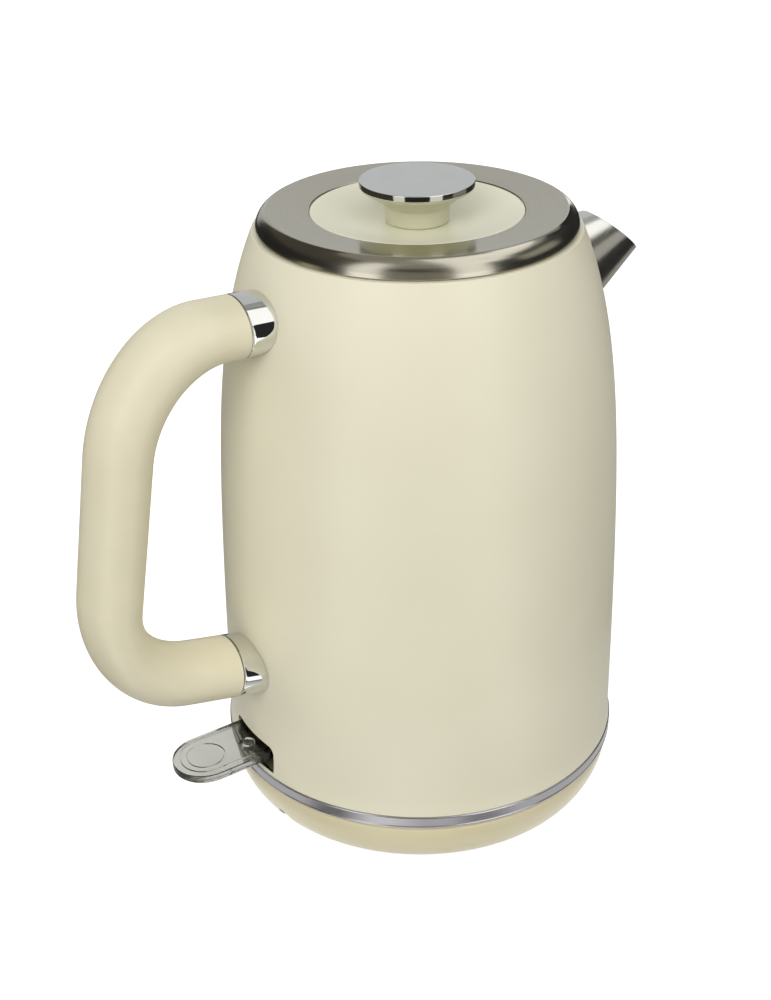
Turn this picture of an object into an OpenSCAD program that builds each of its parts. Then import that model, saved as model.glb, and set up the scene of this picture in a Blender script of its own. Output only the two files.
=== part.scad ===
// Cordless electric kettle: a barrel-shaped painted steel jug with a tube handle, a conical spout,
// a lift-off lid with a disc knob, a clear switch lever and a round power base.
// Millimetres. Z is up, the spout points along +X, the handle and the lever along -X, and the
// origin is on the jug's axis in the plane that the base stands on.

/* [Power base] */
// How far the base's side lies inside the jug's widest radius
base_step = 0.2; // [0:0.1:2]
// How far the lower edge of the base lies inside its widest part
base_edge_in = 5.9; // [4:0.1:9]
// Height of the base casing from its lower edge to the seat
base_h = 16.8; // [14:0.2:24]
// Wall of the base casing
base_wall = 2.2; // [1.6:0.1:3]
// Rounding of the shoulder of the base
base_round = 1.4; // [0.6:0.1:2]
// How far the rubber foot ring stands below the casing
foot_h = 1.3; // [0.8:0.1:3]
// How far the foot ring lies inside the edge of the bottom cover
foot_inset = 4.3; // [3:0.1:12]
// Width of the rubber foot ring
foot_w = 5; // [3:0.5:8]
// Thickness of the bottom cover of the base
base_cover_t = 2; // [1.6:0.1:3]
// Distance of the base's screws from the axis
base_screw_at = 45; // [40:0.5:50]
// Diameter of the hub that enters the jug
hub_d = 47; // [44:0.5:50]
// Height of the hub above the seat
hub_h = 6.4; // [5:0.2:8]
// Width of the flat rim of the seat
seat_rim = 16; // [10:0.5:20]
// Depth of the dished middle of the seat
seat_dish = 1.5; // [0.5:0.1:2]
// Diameter of the round electrical socket
socket_d = 30.4; // [29:0.2:34]
// Angle of the cord outlet, measured from the handle
cord_angle = 11.2; // [0:0.2:60]
// Width of the cord outlet
cord_w = 7; // [5:0.5:10]
// Height of the cord outlet
cord_h = 6; // [4:0.5:8]

/* [Jug body] */
// Widest diameter of the jug body
body_d = 149.4; // [146:0.2:152]
// Height of the painted body
body_h = 197.5; // [180:0.5:230]
// How much the barrel narrows, in radius, over its whole height
barrel_taper = 5.1; // [3:0.1:7]
// How much the shoulder falls in, in radius, near the top
shoulder_drop = 12.3; // [9:0.1:15]
// How much the lowest edge flares out, in radius
bottom_flare = 0.6; // [0:0.1:0.8]
// Height of that flare
flare_h = 8; // [4:0.5:12]
// Thickness of the steel sheet
steel_t = 0.8; // [0.6:0.1:1.2]
// Width of the turned-in rim around the filling mouth
neck_rim = 6.6; // [5.5:0.1:8]
// Depth of the turned-in neck
neck_h = 8.5; // [6:0.5:12]
// How far the steel trim ring stands proud of the widest part of the body
ring_proud = 0.9; // [0.7:0.1:2]
// Height of the steel trim ring
ring_h = 5.4; // [4:0.2:8]

/* [Spout] */
// How far the pouring tip stands out beyond the widest part of the body
spout_out = 20.1; // [16:0.1:28]
// Drop of the pouring tip below the top of the body
spout_drop = 26.2; // [24:0.2:32]
// Rise of the spout cone's axis, in degrees
spout_rise = 20; // [15:0.5:25]
// Half angle of the spout cone, in degrees
spout_half = 16.4; // [13:0.2:18]
// Radius of the cone at the pouring tip
spout_tip_r = 9.4; // [8:0.1:11]
// Slope of the mouth's plane, in degrees
spout_cut = 41; // [35:0.5:50]
// Drop of the filter's tilting edge below the top of the body
filter_drop = 47.5; // [46:0.5:52]
// Height of the filter frame
filter_h = 37; // [34:0.5:38]
// Width of the filter frame
filter_w = 40; // [36:0.5:42]
// Thickness of the filter frame
filter_t = 2; // [1.5:0.1:2.5]
// Rim of the filter frame around its mesh
filter_rim = 3; // [2:0.2:5]
// Lean of the filter frame, in degrees
filter_lean = 12; // [10:0.5:14]
// Pitch of the filter mesh
mesh_pitch = 3.6; // [2.8:0.1:5]
// Size of each opening in the filter mesh
mesh_hole = 2.6; // [1.2:0.1:2.7]

/* [Handle] */
// Drop of the upper arm's middle below the top of the body
arm_top_drop = 21.8; // [20:0.2:30]
// Height of the lower arm's middle above the bottom of the body
arm_low_h = 43.8; // [42:0.2:60]
// Rise of the upper arm, in degrees
arm_top_rise = 2; // [0:0.5:6]
// Rise of the lower arm, in degrees
arm_low_rise = 10.5; // [6:0.5:14]
// Distance from the widest part of the body to the grip's middle at half height
grip_out = 48.2; // [44:0.1:60]
// Lean of the grip, in degrees
grip_lean = 8.8; // [4:0.1:11]
// How much the grip's two sides close towards its lower end, in degrees each
grip_close = 0.3; // [0:0.1:1]
// Width of the grip across the handle
grip_w = 27.5; // [20:0.5:28]
// Thickness of the upper arm
grip_t_top = 21; // [19:0.2:24]
// Thickness of the grip at half height
grip_t_mid = 22.2; // [20:0.1:25]
// Thickness of the lower arm
grip_t_low = 21.4; // [20:0.2:25]
// Length of the upper chrome collar
collar_top_l = 7.4; // [6:0.2:12]
// Length of the lower chrome collar
collar_low_l = 8.6; // [6:0.2:12]
// Radius of the spigots that pass through the collars
spigot_r = 8.2; // [7.6:0.1:9]
// Distance between the two screws of each arm
screw_gap = 9.2; // [8:0.2:10]

/* [Lid] */
// How far the lid's lip lies inside the top edge of the body
lid_in = 1.5; // [0.5:0.1:2.5]
// Height of the lid's crease above its lip
lid_h = 6.6; // [5:0.1:9]
// Width of the lid's rounded shoulder
shoulder_w = 4; // [3:0.1:6]
// Width of the flat ring between the shoulder and the insert
lid_flat_w = 14.6; // [10:0.1:20]
// Depth of the dished insert
insert_dish = 4.3; // [2:0.1:5]
// Wall of the insert
insert_t = 2; // [1.6:0.1:2.6]
// Depth of the lid's plug below its lip
plug_h = 10; // [9.6:0.2:16]
// Diameter of the knob's disc
knob_d = 39.8; // [34:0.2:46]
// Thickness of the knob's disc
knob_t = 2.2; // [1.6:0.1:4]
// Height of the knob's stem
stem_h = 12.2; // [10:0.1:18]
// Diameter of the knob's neck
stem_d = 22; // [18:0.2:26]

/* [Switch] */
// Width of the clear lever
lever_w = 24.8; // [20:0.2:26]
// Thickness of the clear lever
lever_t = 3.3; // [2.8:0.1:3.6]
// How far the lever's tip stands out beyond the widest part of the body
lever_out = 31.9; // [26:0.1:36]
// How far the lever's pin lies inside the widest part of the body
lever_pin_in = 14.7; // [13.5:0.1:17]
// Height of the lever's pin above the bottom of the body
lever_pin_h = 6.8; // [6.6:0.1:7.4]
// Downward lean of the lever at rest, in degrees
lever_lean = 2.4; // [1.5:0.1:3]
// Diameter of the ring embossed on the lever
lever_ring_d = 14.6; // [10:0.2:17]
// Gap beside the lever in its slot
slot_gap = 1.7; // [0.8:0.1:2.5]
// Height of the slot in the body
slot_h = 10.9; // [10.2:0.1:12]
// Height of the slot's lower edge above the bottom of the body
slot_sill = 1.8; // [1.8:0.1:2.4]
// Rounding of the slot's upper corners
slot_round = 3; // [1:0.2:5]
// Radius of the lever's pin
pin_r = 1.5; // [1.2:0.1:1.8]

/* [Heater] */
// Gap between the control's disc and the heater
heater_gap = 1.2; // [0.6:0.1:4]
// Thickness of the heater plate
plate_t = 1.2; // [0.8:0.1:2]
// Distance from the switch bracket's wall to the middle of the heating element's loop
element_in = 8; // [6:0.5:12]
// Radius of the heating element's sheath
sheath_r = 3.3; // [2.8:0.1:3.5]
// Radius of the control unit
control_r = 24; // [22:0.5:27]
// Radius of the steam tube
steam_r = 4; // [3:0.2:4.4]

/* [Clearances] */
// Gap between the jug and the seat of the base
lift_gap = 0.5; // [0.4:0.05:1]
// Gap between parts that lift or turn away from each other
loose = 0.3; // [0.3:0.05:0.5]
// Gap around pieces that are fitted together and stay
fit = 0.1; // [0.05:0.01:0.15]
// Running clearance around pins, in radius
running = 0.05; // [0.02:0.01:0.08]

/* [Hidden] */
$fn = 96;
eps = 0.01;
// Steps along a curved outline and around a swept section
profile_steps = 36;
corner_steps = 12;
section_sides = 28;
// Long enough to pass right through any wall
through = 60;

cream = [0.86, 0.83, 0.68];
steel = [0.70, 0.70, 0.68];
chrome = [0.82, 0.83, 0.85];
black = [0.12, 0.12, 0.12];
brass = [0.78, 0.62, 0.30];
rubber = [0.22, 0.22, 0.21];
clear = [0.85, 0.88, 0.88, 0.5];

body_d2 = body_d / 2;
top_r = body_d2 - barrel_taper - shoulder_drop;
slot_w = lever_w + 2 * slot_gap;
lever_pin_x = body_d2 - lever_pin_in;

// Heights above the surface that the base stands on
seat_z = foot_h + base_h;
jug_z = seat_z + lift_gap;
body_z = jug_z + ring_h;
body_top = body_z + body_h;
neck_r = top_r - neck_rim;
cover_z = seat_z + loose;
cover_t = 2;
cover_top = cover_z + cover_t;
hub_top = seat_z + hub_h;
socket_rise = 1.7;
shutter_rise = 1.2;
recess_gap = 1;
recess_t = 2;
recess_side_gap = 1.7;
socket_top = hub_top + socket_rise;
shutter_top = socket_top + shutter_rise;
recess_z = shutter_top + recess_gap;
recess_top = recess_z + recess_t;
recess_r = hub_d / 2 + recess_side_gap;
control_h = 6;
control_top = recess_top + control_h;
disc_t = 0.5;
diffuser_t = sheath_r + 0.6;
element_z = control_top + disc_t + heater_gap;
plate_z = element_z + diffuser_t;
plate_top = plate_z + plate_t;

// Outer radius of the painted body at height z
function body_r(z) =
    let (h = z - body_z, s = h / body_h)
    body_d2 - barrel_taper * pow(s, 2) - shoulder_drop * pow(s, 6)
    + bottom_flare * pow(max(0, 1 - h / flare_h), 2);
function inner_r(z) = body_r(z) - steel_t;
function outline(z0, z1, inset) =
    [for (i = [0:profile_steps]) let (z = z0 + (z1 - z0) * i / profile_steps) [body_r(z) - inset, z]];
function reverse(list) = [for (i = [len(list) - 1:-1:0]) list[i]];

// The jug as a solid, its walls moved in by inset: it cuts and fits what meets the walls
module jug_solid(inset) {
    rotate_extrude()
        polygon(concat([[0, body_z]], outline(body_z, body_top, inset), [[0, body_top]]));
}

module ring(r_in, r_out, z0, z1) {
    rotate_extrude()
        translate([r_in, z0])
            square([r_out - r_in, z1 - z0]);
}

module rod_z(r, z0, z1) {
    translate([0, 0, z0])
        cylinder(r = r, h = z1 - z0);
}

module rod_x(r, x0, x1) {
    translate([x0, 0, 0])
        rotate([0, 90, 0])
            cylinder(r = r, h = x1 - x0);
}

module rod_y(r, l) {
    rotate([90, 0, 0])
        cylinder(r = r, h = l, center = true);
}

module block(x0, x1, w, z0, z1) {
    translate([x0, -w / 2, z0])
        cube([x1 - x0, w, z1 - z0]);
}

// ---------------------------------------------------------------- power base
base_r = body_d2 - base_step;
base_tangent_z = seat_z - base_round;
base_edge_rise = base_tangent_z - foot_h;
base_side_r = (pow(base_edge_rise, 2) + pow(base_edge_in, 2)) / (2 * base_edge_in);
base_floor_z = foot_h + base_cover_t;
side_steps = 10;
seat_in = base_r - seat_rim;
hub_r = hub_d / 2;
hub_round = 0.8;
socket_r = socket_d / 2;
socket_hole_r = socket_r + fit;
socket_flange_r = socket_r + 4;
socket_flange_t = 2;
socket_floor_h = 5;
socket_z = foot_h + socket_floor_h;
socket_post_r = socket_r - 3;
socket_post_t = 2;
shutter_w = 2.4;
shutter_depth = 2;
shutter_out = socket_r - 0.8;
shutter_in = shutter_out - shutter_w;
shutter_z = socket_top - shutter_depth;
groove_w = 3.4;
groove_out = shutter_in - 0.6;
groove_in = groove_out - groove_w;
groove_floor_h = 9;
groove_z = socket_z + groove_floor_h;
centre_hole_r = 3.2;
centre_hole_floor_h = 5;
centre_hole_z = socket_z + centre_hole_floor_h;
contact_h = 4;
socket_contact_t = 0.4;
centre_contact_t = 0.6;
base_screw_r = 1.5;
base_screw_head_r = 2.8;
base_screw_head_h = 1.2;
base_boss_r = 3.5;
base_under_top = seat_z - seat_dish - base_wall;
base_cover_r = base_side(foot_h, base_wall) - fit;
foot_r = base_cover_r - foot_inset - foot_w / 2;
foot_groove = 0.7;
cord_inset = foot_inset - 0.4;

// Radius of the base's side at height z, moved in by inset
function base_side(z, inset) =
    base_r - base_side_r + sqrt(pow(base_side_r, 2) - pow(base_tangent_z - z, 2)) - inset;
function base_side_points(inset, top) =
    [for (i = [0:side_steps]) let (z = foot_h + (top - foot_h) * i / side_steps) [base_side(z, inset), z]];

module at_cord() {
    rotate([0, 0, 180 + cord_angle])
        children();
}

module cord_hole() {
    at_cord()
        translate([base_cover_r - cord_inset, -cord_w / 2, foot_h - 1])
            cube([base_r, cord_w, cord_h + 1]);
}

module base_screw_places() {
    for (a = [0, 120, 240])
        rotate([0, 0, a])
            translate([base_screw_at, 0, 0])
                children();
}

module base_shell() {
    color(cream)
        difference() {
            union() {
                rotate_extrude()
                    polygon(concat(
                        base_side_points(0, base_tangent_z),
                        [for (a = [22.5:22.5:90])
                            [base_r - base_round + base_round * cos(a),
                             base_tangent_z + base_round * sin(a)]],
                        [[seat_in, seat_z],
                         [seat_in - seat_dish, seat_z - seat_dish],
                         [hub_r + 1, seat_z - seat_dish],
                         [hub_r, seat_z - seat_dish + 1],
                         [hub_r, hub_top - hub_round],
                         [hub_r - hub_round, hub_top],
                         [socket_hole_r, hub_top],
                         [socket_hole_r, hub_top - base_wall],
                         [hub_r - base_wall, hub_top - base_wall],
                         [hub_r - base_wall, base_under_top],
                         [seat_in - seat_dish, base_under_top],
                         [seat_in, seat_z - base_wall]],
                        reverse(base_side_points(base_wall, seat_z - base_wall))));
                base_screw_places()
                    rod_z(base_boss_r, base_floor_z, base_under_top + eps);
            }
            cord_hole();
            base_screw_places()
                rod_z(base_screw_r + running, base_floor_z - 1, base_under_top - 1);
        }
}

module base_bottom_cover() {
    color(cream)
        difference() {
            union() {
                rod_z(base_cover_r, foot_h, base_floor_z);
                ring(socket_post_r - socket_post_t, socket_post_r, base_floor_z - eps, socket_z);
            }
            ring(foot_r - foot_w / 2, foot_r + foot_w / 2, foot_h - 1, foot_h + foot_groove);
            cord_hole();
            base_screw_places() {
                rod_z(base_screw_r + running, 0, base_floor_z + 1);
                rod_z(base_screw_head_r + fit, 0, foot_h + base_screw_head_h);
            }
        }
}

module base_foot_ring() {
    color(rubber)
        ring(foot_r - foot_w / 2 + fit, foot_r + foot_w / 2 - fit, 0, foot_h + foot_groove);
}

module base_socket() {
    color(black)
        difference() {
            union() {
                rod_z(socket_r, socket_z, socket_top);
                rod_z(socket_flange_r, hub_top - base_wall - socket_flange_t, hub_top - base_wall);
            }
            ring(groove_in, groove_out, groove_z, socket_top + 1);
            rod_z(centre_hole_r, centre_hole_z, socket_top + 1);
            ring(shutter_in - running, shutter_out + running, shutter_z - running, socket_top + 1);
        }
}

module base_contacts() {
    color(brass) {
        ring(groove_out - socket_contact_t, groove_out, groove_z, groove_z + contact_h);
        ring(centre_hole_r - centre_contact_t, centre_hole_r, centre_hole_z, centre_hole_z + contact_h);
    }
}

module base_screws() {
    color(steel)
        base_screw_places()
            difference() {
                union() {
                    rod_z(base_screw_head_r, foot_h, foot_h + base_screw_head_h);
                    rod_z(base_screw_r, foot_h, base_under_top - 2);
                }
                translate([0, 0, foot_h - eps])
                    cylinder(r = hex_r, h = hex_depth, $fn = 6);
            }
}

// Rubber outlet for the cord, set back from the casing's face
module cord_grommet() {
    r0 = base_cover_r - cord_inset + fit;
    r1 = base_side(foot_h, 0) - 0.6;
    color(rubber)
        at_cord()
            difference() {
                translate([r0, -cord_w / 2 + fit, foot_h])
                    cube([r1 - r0, cord_w - 2 * fit, cord_h - fit]);
                translate([0, 0, foot_h + cord_h / 2])
                    rod_x(cord_w / 2 - 1.5, r0 - 1, r1 + 1);
            }
}

module socket_shutter() {
    color([0.3, 0.3, 0.3])
        ring(shutter_in, shutter_out, shutter_z, shutter_top);
}

// ---------------------------------------------------------------- jug body
ring_r = body_d2 + ring_proud;
ring_collar_h = slot_sill - 0.2;
ring_collar_r = inner_r(body_z + ring_collar_h) - loose;
ring_collar_t = 1.2;
cover_r = ring_collar_r - ring_collar_t - fit;
stud_in = 12.7;
stud_at = cover_r - stud_in;
stud_r = 3.2;
cover_screw_r = 1.5;
cover_screw_head_r = 2.8;
cover_screw_head_h = 1.2;
cover_screw_l = 10;
hex_r = 1.2;
hex_depth = 0.8;
disc_hole_gap = 4.8;
disc_hole_r = socket_r + disc_hole_gap;
slot_cut_depth = 12;

module handle_holes(r) {
    for (top = [true, false])
        along_arm(top)
            at_screws()
                rod_x(r, -through / 4, through / 4);
}

module slot_cut() {
    z0 = body_z + slot_sill;
    translate([-body_d2 - slot_cut_depth / 3, 0, 0])
        rotate([90, 0, 90])
            linear_extrude(height = slot_cut_depth) {
                translate([-slot_w / 2, z0])
                    square([slot_w, slot_h - slot_round]);
                translate([-slot_w / 2 + slot_round, z0])
                    square([slot_w - 2 * slot_round, slot_h]);
                for (side = [-1, 1])
                    translate([side * (slot_w / 2 - slot_round), z0 + slot_h - slot_round])
                        circle(r = slot_round);
            }
}

module body_shell() {
    neck_bottom = body_top - neck_h;
    under_top = body_top - steel_t;
    color(cream)
        difference() {
            rotate_extrude()
                polygon(concat(
                    outline(body_z, body_top, 0),
                    [[neck_r, body_top], [neck_r, neck_bottom], [neck_r + steel_t, neck_bottom],
                     [neck_r + steel_t, under_top]],
                    [[inner_r(under_top), under_top]],
                    reverse([for (p = outline(body_z, body_top, steel_t)) if (p[1] < under_top - 1) p])));
            spout_cone(steel_t);
            slot_cut();
            handle_holes(screw_hole_r);
        }
}

module bottom_trim_ring() {
    z0 = jug_z;
    color(steel)
        rotate_extrude()
            polygon([[ring_collar_r - ring_collar_t, z0], [ring_r - 0.4, z0], [ring_r, z0 + 0.4],
                     [ring_r, body_z - 0.2], [ring_r - 0.2, body_z], [ring_collar_r, body_z],
                     [ring_collar_r, body_z + ring_collar_h],
                     [ring_collar_r - ring_collar_t, body_z + ring_collar_h]]);
}

module cover_screw_places() {
    for (a = [0, 120, 240])
        rotate([0, 0, a])
            translate([stud_at, 0, 0])
                children();
}

module underside_cover() {
    wall = 2;
    color(black)
        difference() {
            rotate_extrude()
                polygon([[recess_r, cover_z], [cover_r, cover_z], [cover_r, cover_top],
                         [recess_r + wall, cover_top], [recess_r + wall, recess_top],
                         [disc_hole_r, recess_top], [disc_hole_r, recess_z], [recess_r, recess_z]]);
            cover_screw_places() {
                rod_z(cover_screw_r + running, cover_z - 1, cover_top + 1);
                rod_z(cover_screw_head_r + fit, cover_z - 1, cover_z + cover_screw_head_h);
            }
        }
}

module cover_screws() {
    color(steel)
        cover_screw_places()
            difference() {
                union() {
                    rod_z(cover_screw_head_r, cover_z, cover_z + cover_screw_head_h);
                    rod_z(cover_screw_r, cover_z, cover_z + cover_screw_l);
                }
                translate([0, 0, cover_z - eps])
                    cylinder(r = hex_r, h = hex_depth, $fn = 6);
            }
}

// ---------------------------------------------------------------- connector, control and heater
skirt_gap = 0.8;
skirt_t = 1.2;
skirt_in = groove_in + skirt_gap;
skirt_out = skirt_in + skirt_t;
sleeve_t = 0.6;
centre_pin_r = 2.2;
disc_r = 9;
plunger_in = 9.8;
plunger_x = lever_pin_x - plunger_in;
bracket_wall_in = 4.2;
bracket_wall_t = 2;
bracket_wall_x = plunger_x - bracket_wall_in;
element_r = bracket_wall_x - bracket_wall_t - element_in;
diffuser_rim = 7;
diffuser_r = element_r + diffuser_rim;
terminal_r = 1.3;
terminal_l = 7;
element_gap = 60;
steam_x = lever_pin_x;
steam_drop = 36;
steam_z = plate_z - 3;
steam_top = body_top - steam_drop;
seal_w = 2.2;
plate_r = inner_r(plate_z) - fit - seal_w;
seal_in = plate_r - 1;
seal_lip = 1.2;

module kettle_connector() {
    skirt_z = groove_z + 1;
    color(black)
        rotate_extrude() {
            translate([centre_pin_r, recess_z + fit])
                square([disc_hole_r - fit - centre_pin_r, recess_t - fit]);
            translate([skirt_in, skirt_z])
                square([skirt_t, recess_top - skirt_z]);
        }
}

module connector_contacts() {
    color(brass) {
        rod_z(centre_pin_r, centre_hole_z + 1, recess_top);
        ring(skirt_out, skirt_out + sleeve_t, groove_z + 2, recess_z - 2);
    }
}

module control_unit() {
    ear_r = control_r / 4;
    color(black)
        difference() {
            union() {
                rod_z(control_r, recess_top, control_top);
                block(-ear_r, ear_r, 2 * control_r + ear_r, recess_top, control_top - 2);
            }
            ring(disc_r + 2, disc_r + 4, control_top - 1, control_top + 1);
        }
}

// The dry-boil disc on the control and the steam disc on the bracket's back wall
module bimetal_discs() {
    steam_disc_r = 4;
    color(steel) {
        rod_z(disc_r, control_top, control_top + disc_t);
        translate([-bracket_wall_x + bracket_wall_t, 0, bracket_wall_top - steam_disc_r - 1])
            rod_x(steam_disc_r, 0, disc_t);
    }
}

module heater_plate() {
    color(steel)
        difference() {
            union() {
                rod_z(plate_r, plate_z, plate_top);
                cover_screw_places()
                    rod_z(stud_r, cover_top, plate_z + eps);
            }
            cover_screw_places()
                rod_z(cover_screw_r + running, cover_top - 1, plate_z - 2);
            translate([-steam_x, 0, 0])
                rod_z(steam_r + running, plate_z - 1, plate_top + 1);
        }
}

module heat_diffuser() {
    color([0.78, 0.78, 0.79])
        difference() {
            rod_z(diffuser_r, element_z, plate_z);
            rotate_extrude()
                translate([element_r, element_z])
                    circle(r = sheath_r + running);
        }
}

module heating_element() {
    color([0.45, 0.45, 0.44])
        rotate([0, 0, element_gap / 2])
            rotate_extrude(angle = 360 - element_gap)
                translate([element_r, element_z])
                    circle(r = sheath_r);
}

module element_terminals() {
    color(brass)
        for (side = [-1, 1])
            rotate([0, 0, side * element_gap / 2])
                translate([element_r, 0, element_z])
                    rotate([side * 90, 0, 0])
                        cylinder(r = terminal_r, h = terminal_l);
}

module plate_seal() {
    r_out = inner_r(plate_z) - fit;
    color([0.85, 0.84, 0.80])
        rotate_extrude()
            polygon([[seal_in, plate_z - seal_lip], [r_out, plate_z - seal_lip],
                     [r_out, plate_top + seal_lip], [seal_in, plate_top + seal_lip],
                     [seal_in, plate_top], [plate_r, plate_top], [plate_r, plate_z],
                     [seal_in, plate_z]]);
}

// Leads steam from the top of the jug down to the switch
module steam_tube() {
    color(steel)
        translate([-steam_x, 0, 0])
            ring(steam_r - 0.8, steam_r, steam_z, steam_top);
}

// ---------------------------------------------------------------- spout and filter
spout_tip = [body_d2 + spout_out, body_top - spout_drop];
spout_tip_d = spout_tip_r / tan(spout_half);
spout_apex = spout_tip + spout_tip_d
    * [cos(spout_rise) - tan(spout_half) * sin(spout_rise),
       sin(spout_rise) + tan(spout_half) * cos(spout_rise)];
spout_near = spout_tip_d / 3;
spout_root = 26;
spout_far = spout_tip_d + spout_out + spout_root;
lug_r = 1.5;
lug_l = 2.4;
clip_gap = 0.4;
clip_w = 3;
clip_r = 3;
lug_gap = 0.5;
filter_z = body_top - filter_drop;
filter_x = sqrt(pow(inner_r(filter_z), 2) - pow(filter_w / 2 + lug_l, 2)) - lug_r - lug_gap;

// The spout's cone, its wall moved in by inset
module spout_cone(inset) {
    shift = inset / sin(spout_half);
    translate([spout_apex[0], 0, spout_apex[1]])
        rotate([0, -90 - spout_rise, 0])
            translate([0, 0, shift + spout_near])
                cylinder(r1 = spout_near * tan(spout_half),
                         r2 = (spout_far - shift) * tan(spout_half),
                         h = spout_far - shift - spout_near);
}

module spout() {
    color(steel)
        difference() {
            spout_cone(0);
            spout_cone(steel_t);
            translate([spout_tip[0], 0, spout_tip[1]])
                rotate([0, spout_cut, 0])
                    block(-through, through, through, 0, through);
            jug_solid(0);
        }
}

module in_filter() {
    translate([filter_x, 0, filter_z])
        rotate([0, -filter_lean, 0])
            children();
}

module filter_frame() {
    color([0.80, 0.80, 0.78])
        in_filter()
            difference() {
                union() {
                    block(-filter_t / 2, filter_t / 2, filter_w, -lug_r, filter_h);
                    rod_y(lug_r, filter_w + 2 * lug_l);
                }
                block(-filter_t, filter_t, filter_w - 2 * filter_rim, filter_rim,
                      filter_h - filter_rim);
            }
}

module filter_mesh() {
    t = 0.4;
    border = filter_rim / 2 - fit;
    w = filter_w - 2 * filter_rim + 2 * border;
    h = filter_h - 2 * filter_rim + 2 * border;
    cols = floor((w - 2 * border) / mesh_pitch);
    rows = floor((h - 2 * border) / mesh_pitch);
    z_mid = filter_h / 2;
    color(steel)
        in_filter()
            difference() {
                translate([-filter_t / 2 - t, -w / 2, z_mid - h / 2])
                    cube([t, w, h]);
                for (i = [0:cols - 1], j = [0:rows - 1])
                    translate([-filter_t, (i - (cols - 1) / 2) * mesh_pitch - mesh_hole / 2,
                               z_mid + (j - (rows - 1) / 2) * mesh_pitch - mesh_hole / 2])
                        cube([filter_t, mesh_hole, mesh_hole]);
            }
}

// Two lugs on the wall that hold the filter's round ends
module filter_clips() {
    y0 = filter_w / 2 + clip_gap;
    color(steel)
        difference() {
            intersection() {
                jug_solid(steel_t);
                for (side = [-1, 1])
                    translate([filter_x - clip_r, side * (y0 + clip_w / 2) - clip_w / 2,
                               filter_z - clip_r])
                        cube([filter_w / 2, clip_w, 2 * clip_r]);
            }
            translate([filter_x, 0, filter_z])
                rod_y(lug_r + running, through);
        }
}

// ---------------------------------------------------------------- handle
screw_r = 1.6;
screw_hole_r = 1.8;
screw_head_r = 3;
screw_head_h = 2;
screw_l = 12;
screw_hex_r = 1.4;
screw_hex_depth = 1.2;
gasket_t = 0.8;
pad_depth = 6;
pad_reach = 8;
pad_w = 22;
pad_h = 14;
spigot_in = 5;
corner_pull = 0.56;
collar_root = 4;
outer_top_corner = [37.4, 49.2];
inner_top_corner = [25.1, 30.4];
outer_low_corner = [39, 45.6];
inner_low_corner = [23.8, 19.4];

function arm_h(top) = top ? body_top - arm_top_drop : body_z + arm_low_h;
function arm_rise(top) = top ? arm_top_rise : arm_low_rise;
function arm_t(top) = top ? grip_t_top : grip_t_low;
function collar_l(top) = top ? collar_top_l : collar_low_l;
function arm_wall(top) = body_r(arm_h(top));
function arm_dir(top) = [cos(arm_rise(top)), sin(arm_rise(top))];
function arm_joint(top) =
    [arm_wall(top) + collar_l(top), arm_h(top) + collar_l(top) * tan(arm_rise(top))];
// Edge of an arm at its collar: side is 1 on the outer outline and -1 on the inner one
function arm_edge(top, side) =
    arm_joint(top) + side * (top ? 1 : -1) * arm_t(top) / 2 * [-sin(arm_rise(top)), cos(arm_rise(top))];
function grip_dir(side) = let (a = grip_lean - side * grip_close) [sin(a), -cos(a)];
grip_mid_z = body_z + body_h / 2 + 3;
function grip_edge(side) = [body_d2 + grip_out + side * grip_t_mid / 2, grip_mid_z];
function cross2(a, b) = a[0] * b[1] - a[1] * b[0];
function meet(p, d, q, e) = p + d * cross2(q - p, e) / cross2(d, e);
function curve(a, x, b, n) =
    [for (i = [0:n]) let (t = i / n, u = 1 - t, c = a + (x - a) * corner_pull, e = b + (x - b) * corner_pull)
        pow(u, 3) * a + 3 * u * u * t * c + 3 * u * t * t * e + pow(t, 3) * b];
// Outline of the grip on one side, from the upper collar round to the lower one
function grip_line(side) =
    let (top_c = side > 0 ? outer_top_corner : inner_top_corner,
         low_c = side > 0 ? outer_low_corner : inner_low_corner,
         x1 = meet(arm_edge(true, side), arm_dir(true), grip_edge(side), grip_dir(side)),
         x2 = meet(arm_edge(false, side), arm_dir(false), grip_edge(side), grip_dir(side)),
         b1 = x1 + grip_dir(side) * top_c[1],
         a2 = x2 - grip_dir(side) * low_c[1])
    concat([arm_edge(true, side)],
           curve(x1 - arm_dir(true) * top_c[0], x1, b1, corner_steps),
           [for (i = [1:3]) b1 + (a2 - b1) * i / 4],
           curve(a2, x2, x2 - arm_dir(false) * low_c[0], corner_steps),
           [arm_edge(false, side)]);

// Frame on an arm: x runs outwards along the arm from the wall
module along_arm(top) {
    translate([-arm_wall(top), 0, arm_h(top)])
        rotate([0, 180 + arm_rise(top), 0])
            children();
}

module at_screws() {
    for (side = [-1, 1])
        translate([0, side * screw_gap / 2, 0])
            children();
}

// A tube of oval rings, one for each pair of points on the outer and the inner outline
module oval_sweep(outer, inner, w) {
    n = len(outer);
    points = [for (i = [0:n - 1], k = [0:section_sides - 1])
        let (c = (outer[i] + inner[i]) / 2, h = (outer[i] - inner[i]) / 2, a = 360 * k / section_sides)
            [-c[0] - h[0] * cos(a), w / 2 * sin(a), c[1] + h[1] * cos(a)]];
    sides = [for (i = [0:n - 2], k = [0:section_sides - 1])
        let (m = (k + 1) % section_sides, a = i * section_sides, b = a + section_sides)
            [a + k, b + k, b + m, a + m]];
    caps = [[for (k = [0:section_sides - 1]) k],
            [for (k = [section_sides - 1:-1:0]) (n - 1) * section_sides + k]];
    polyhedron(points = points, faces = concat(sides, caps), convexity = 4);
}

module spigot(top) {
    along_arm(top)
        rod_x(spigot_r, -3, collar_l(top) + spigot_in);
}

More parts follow.
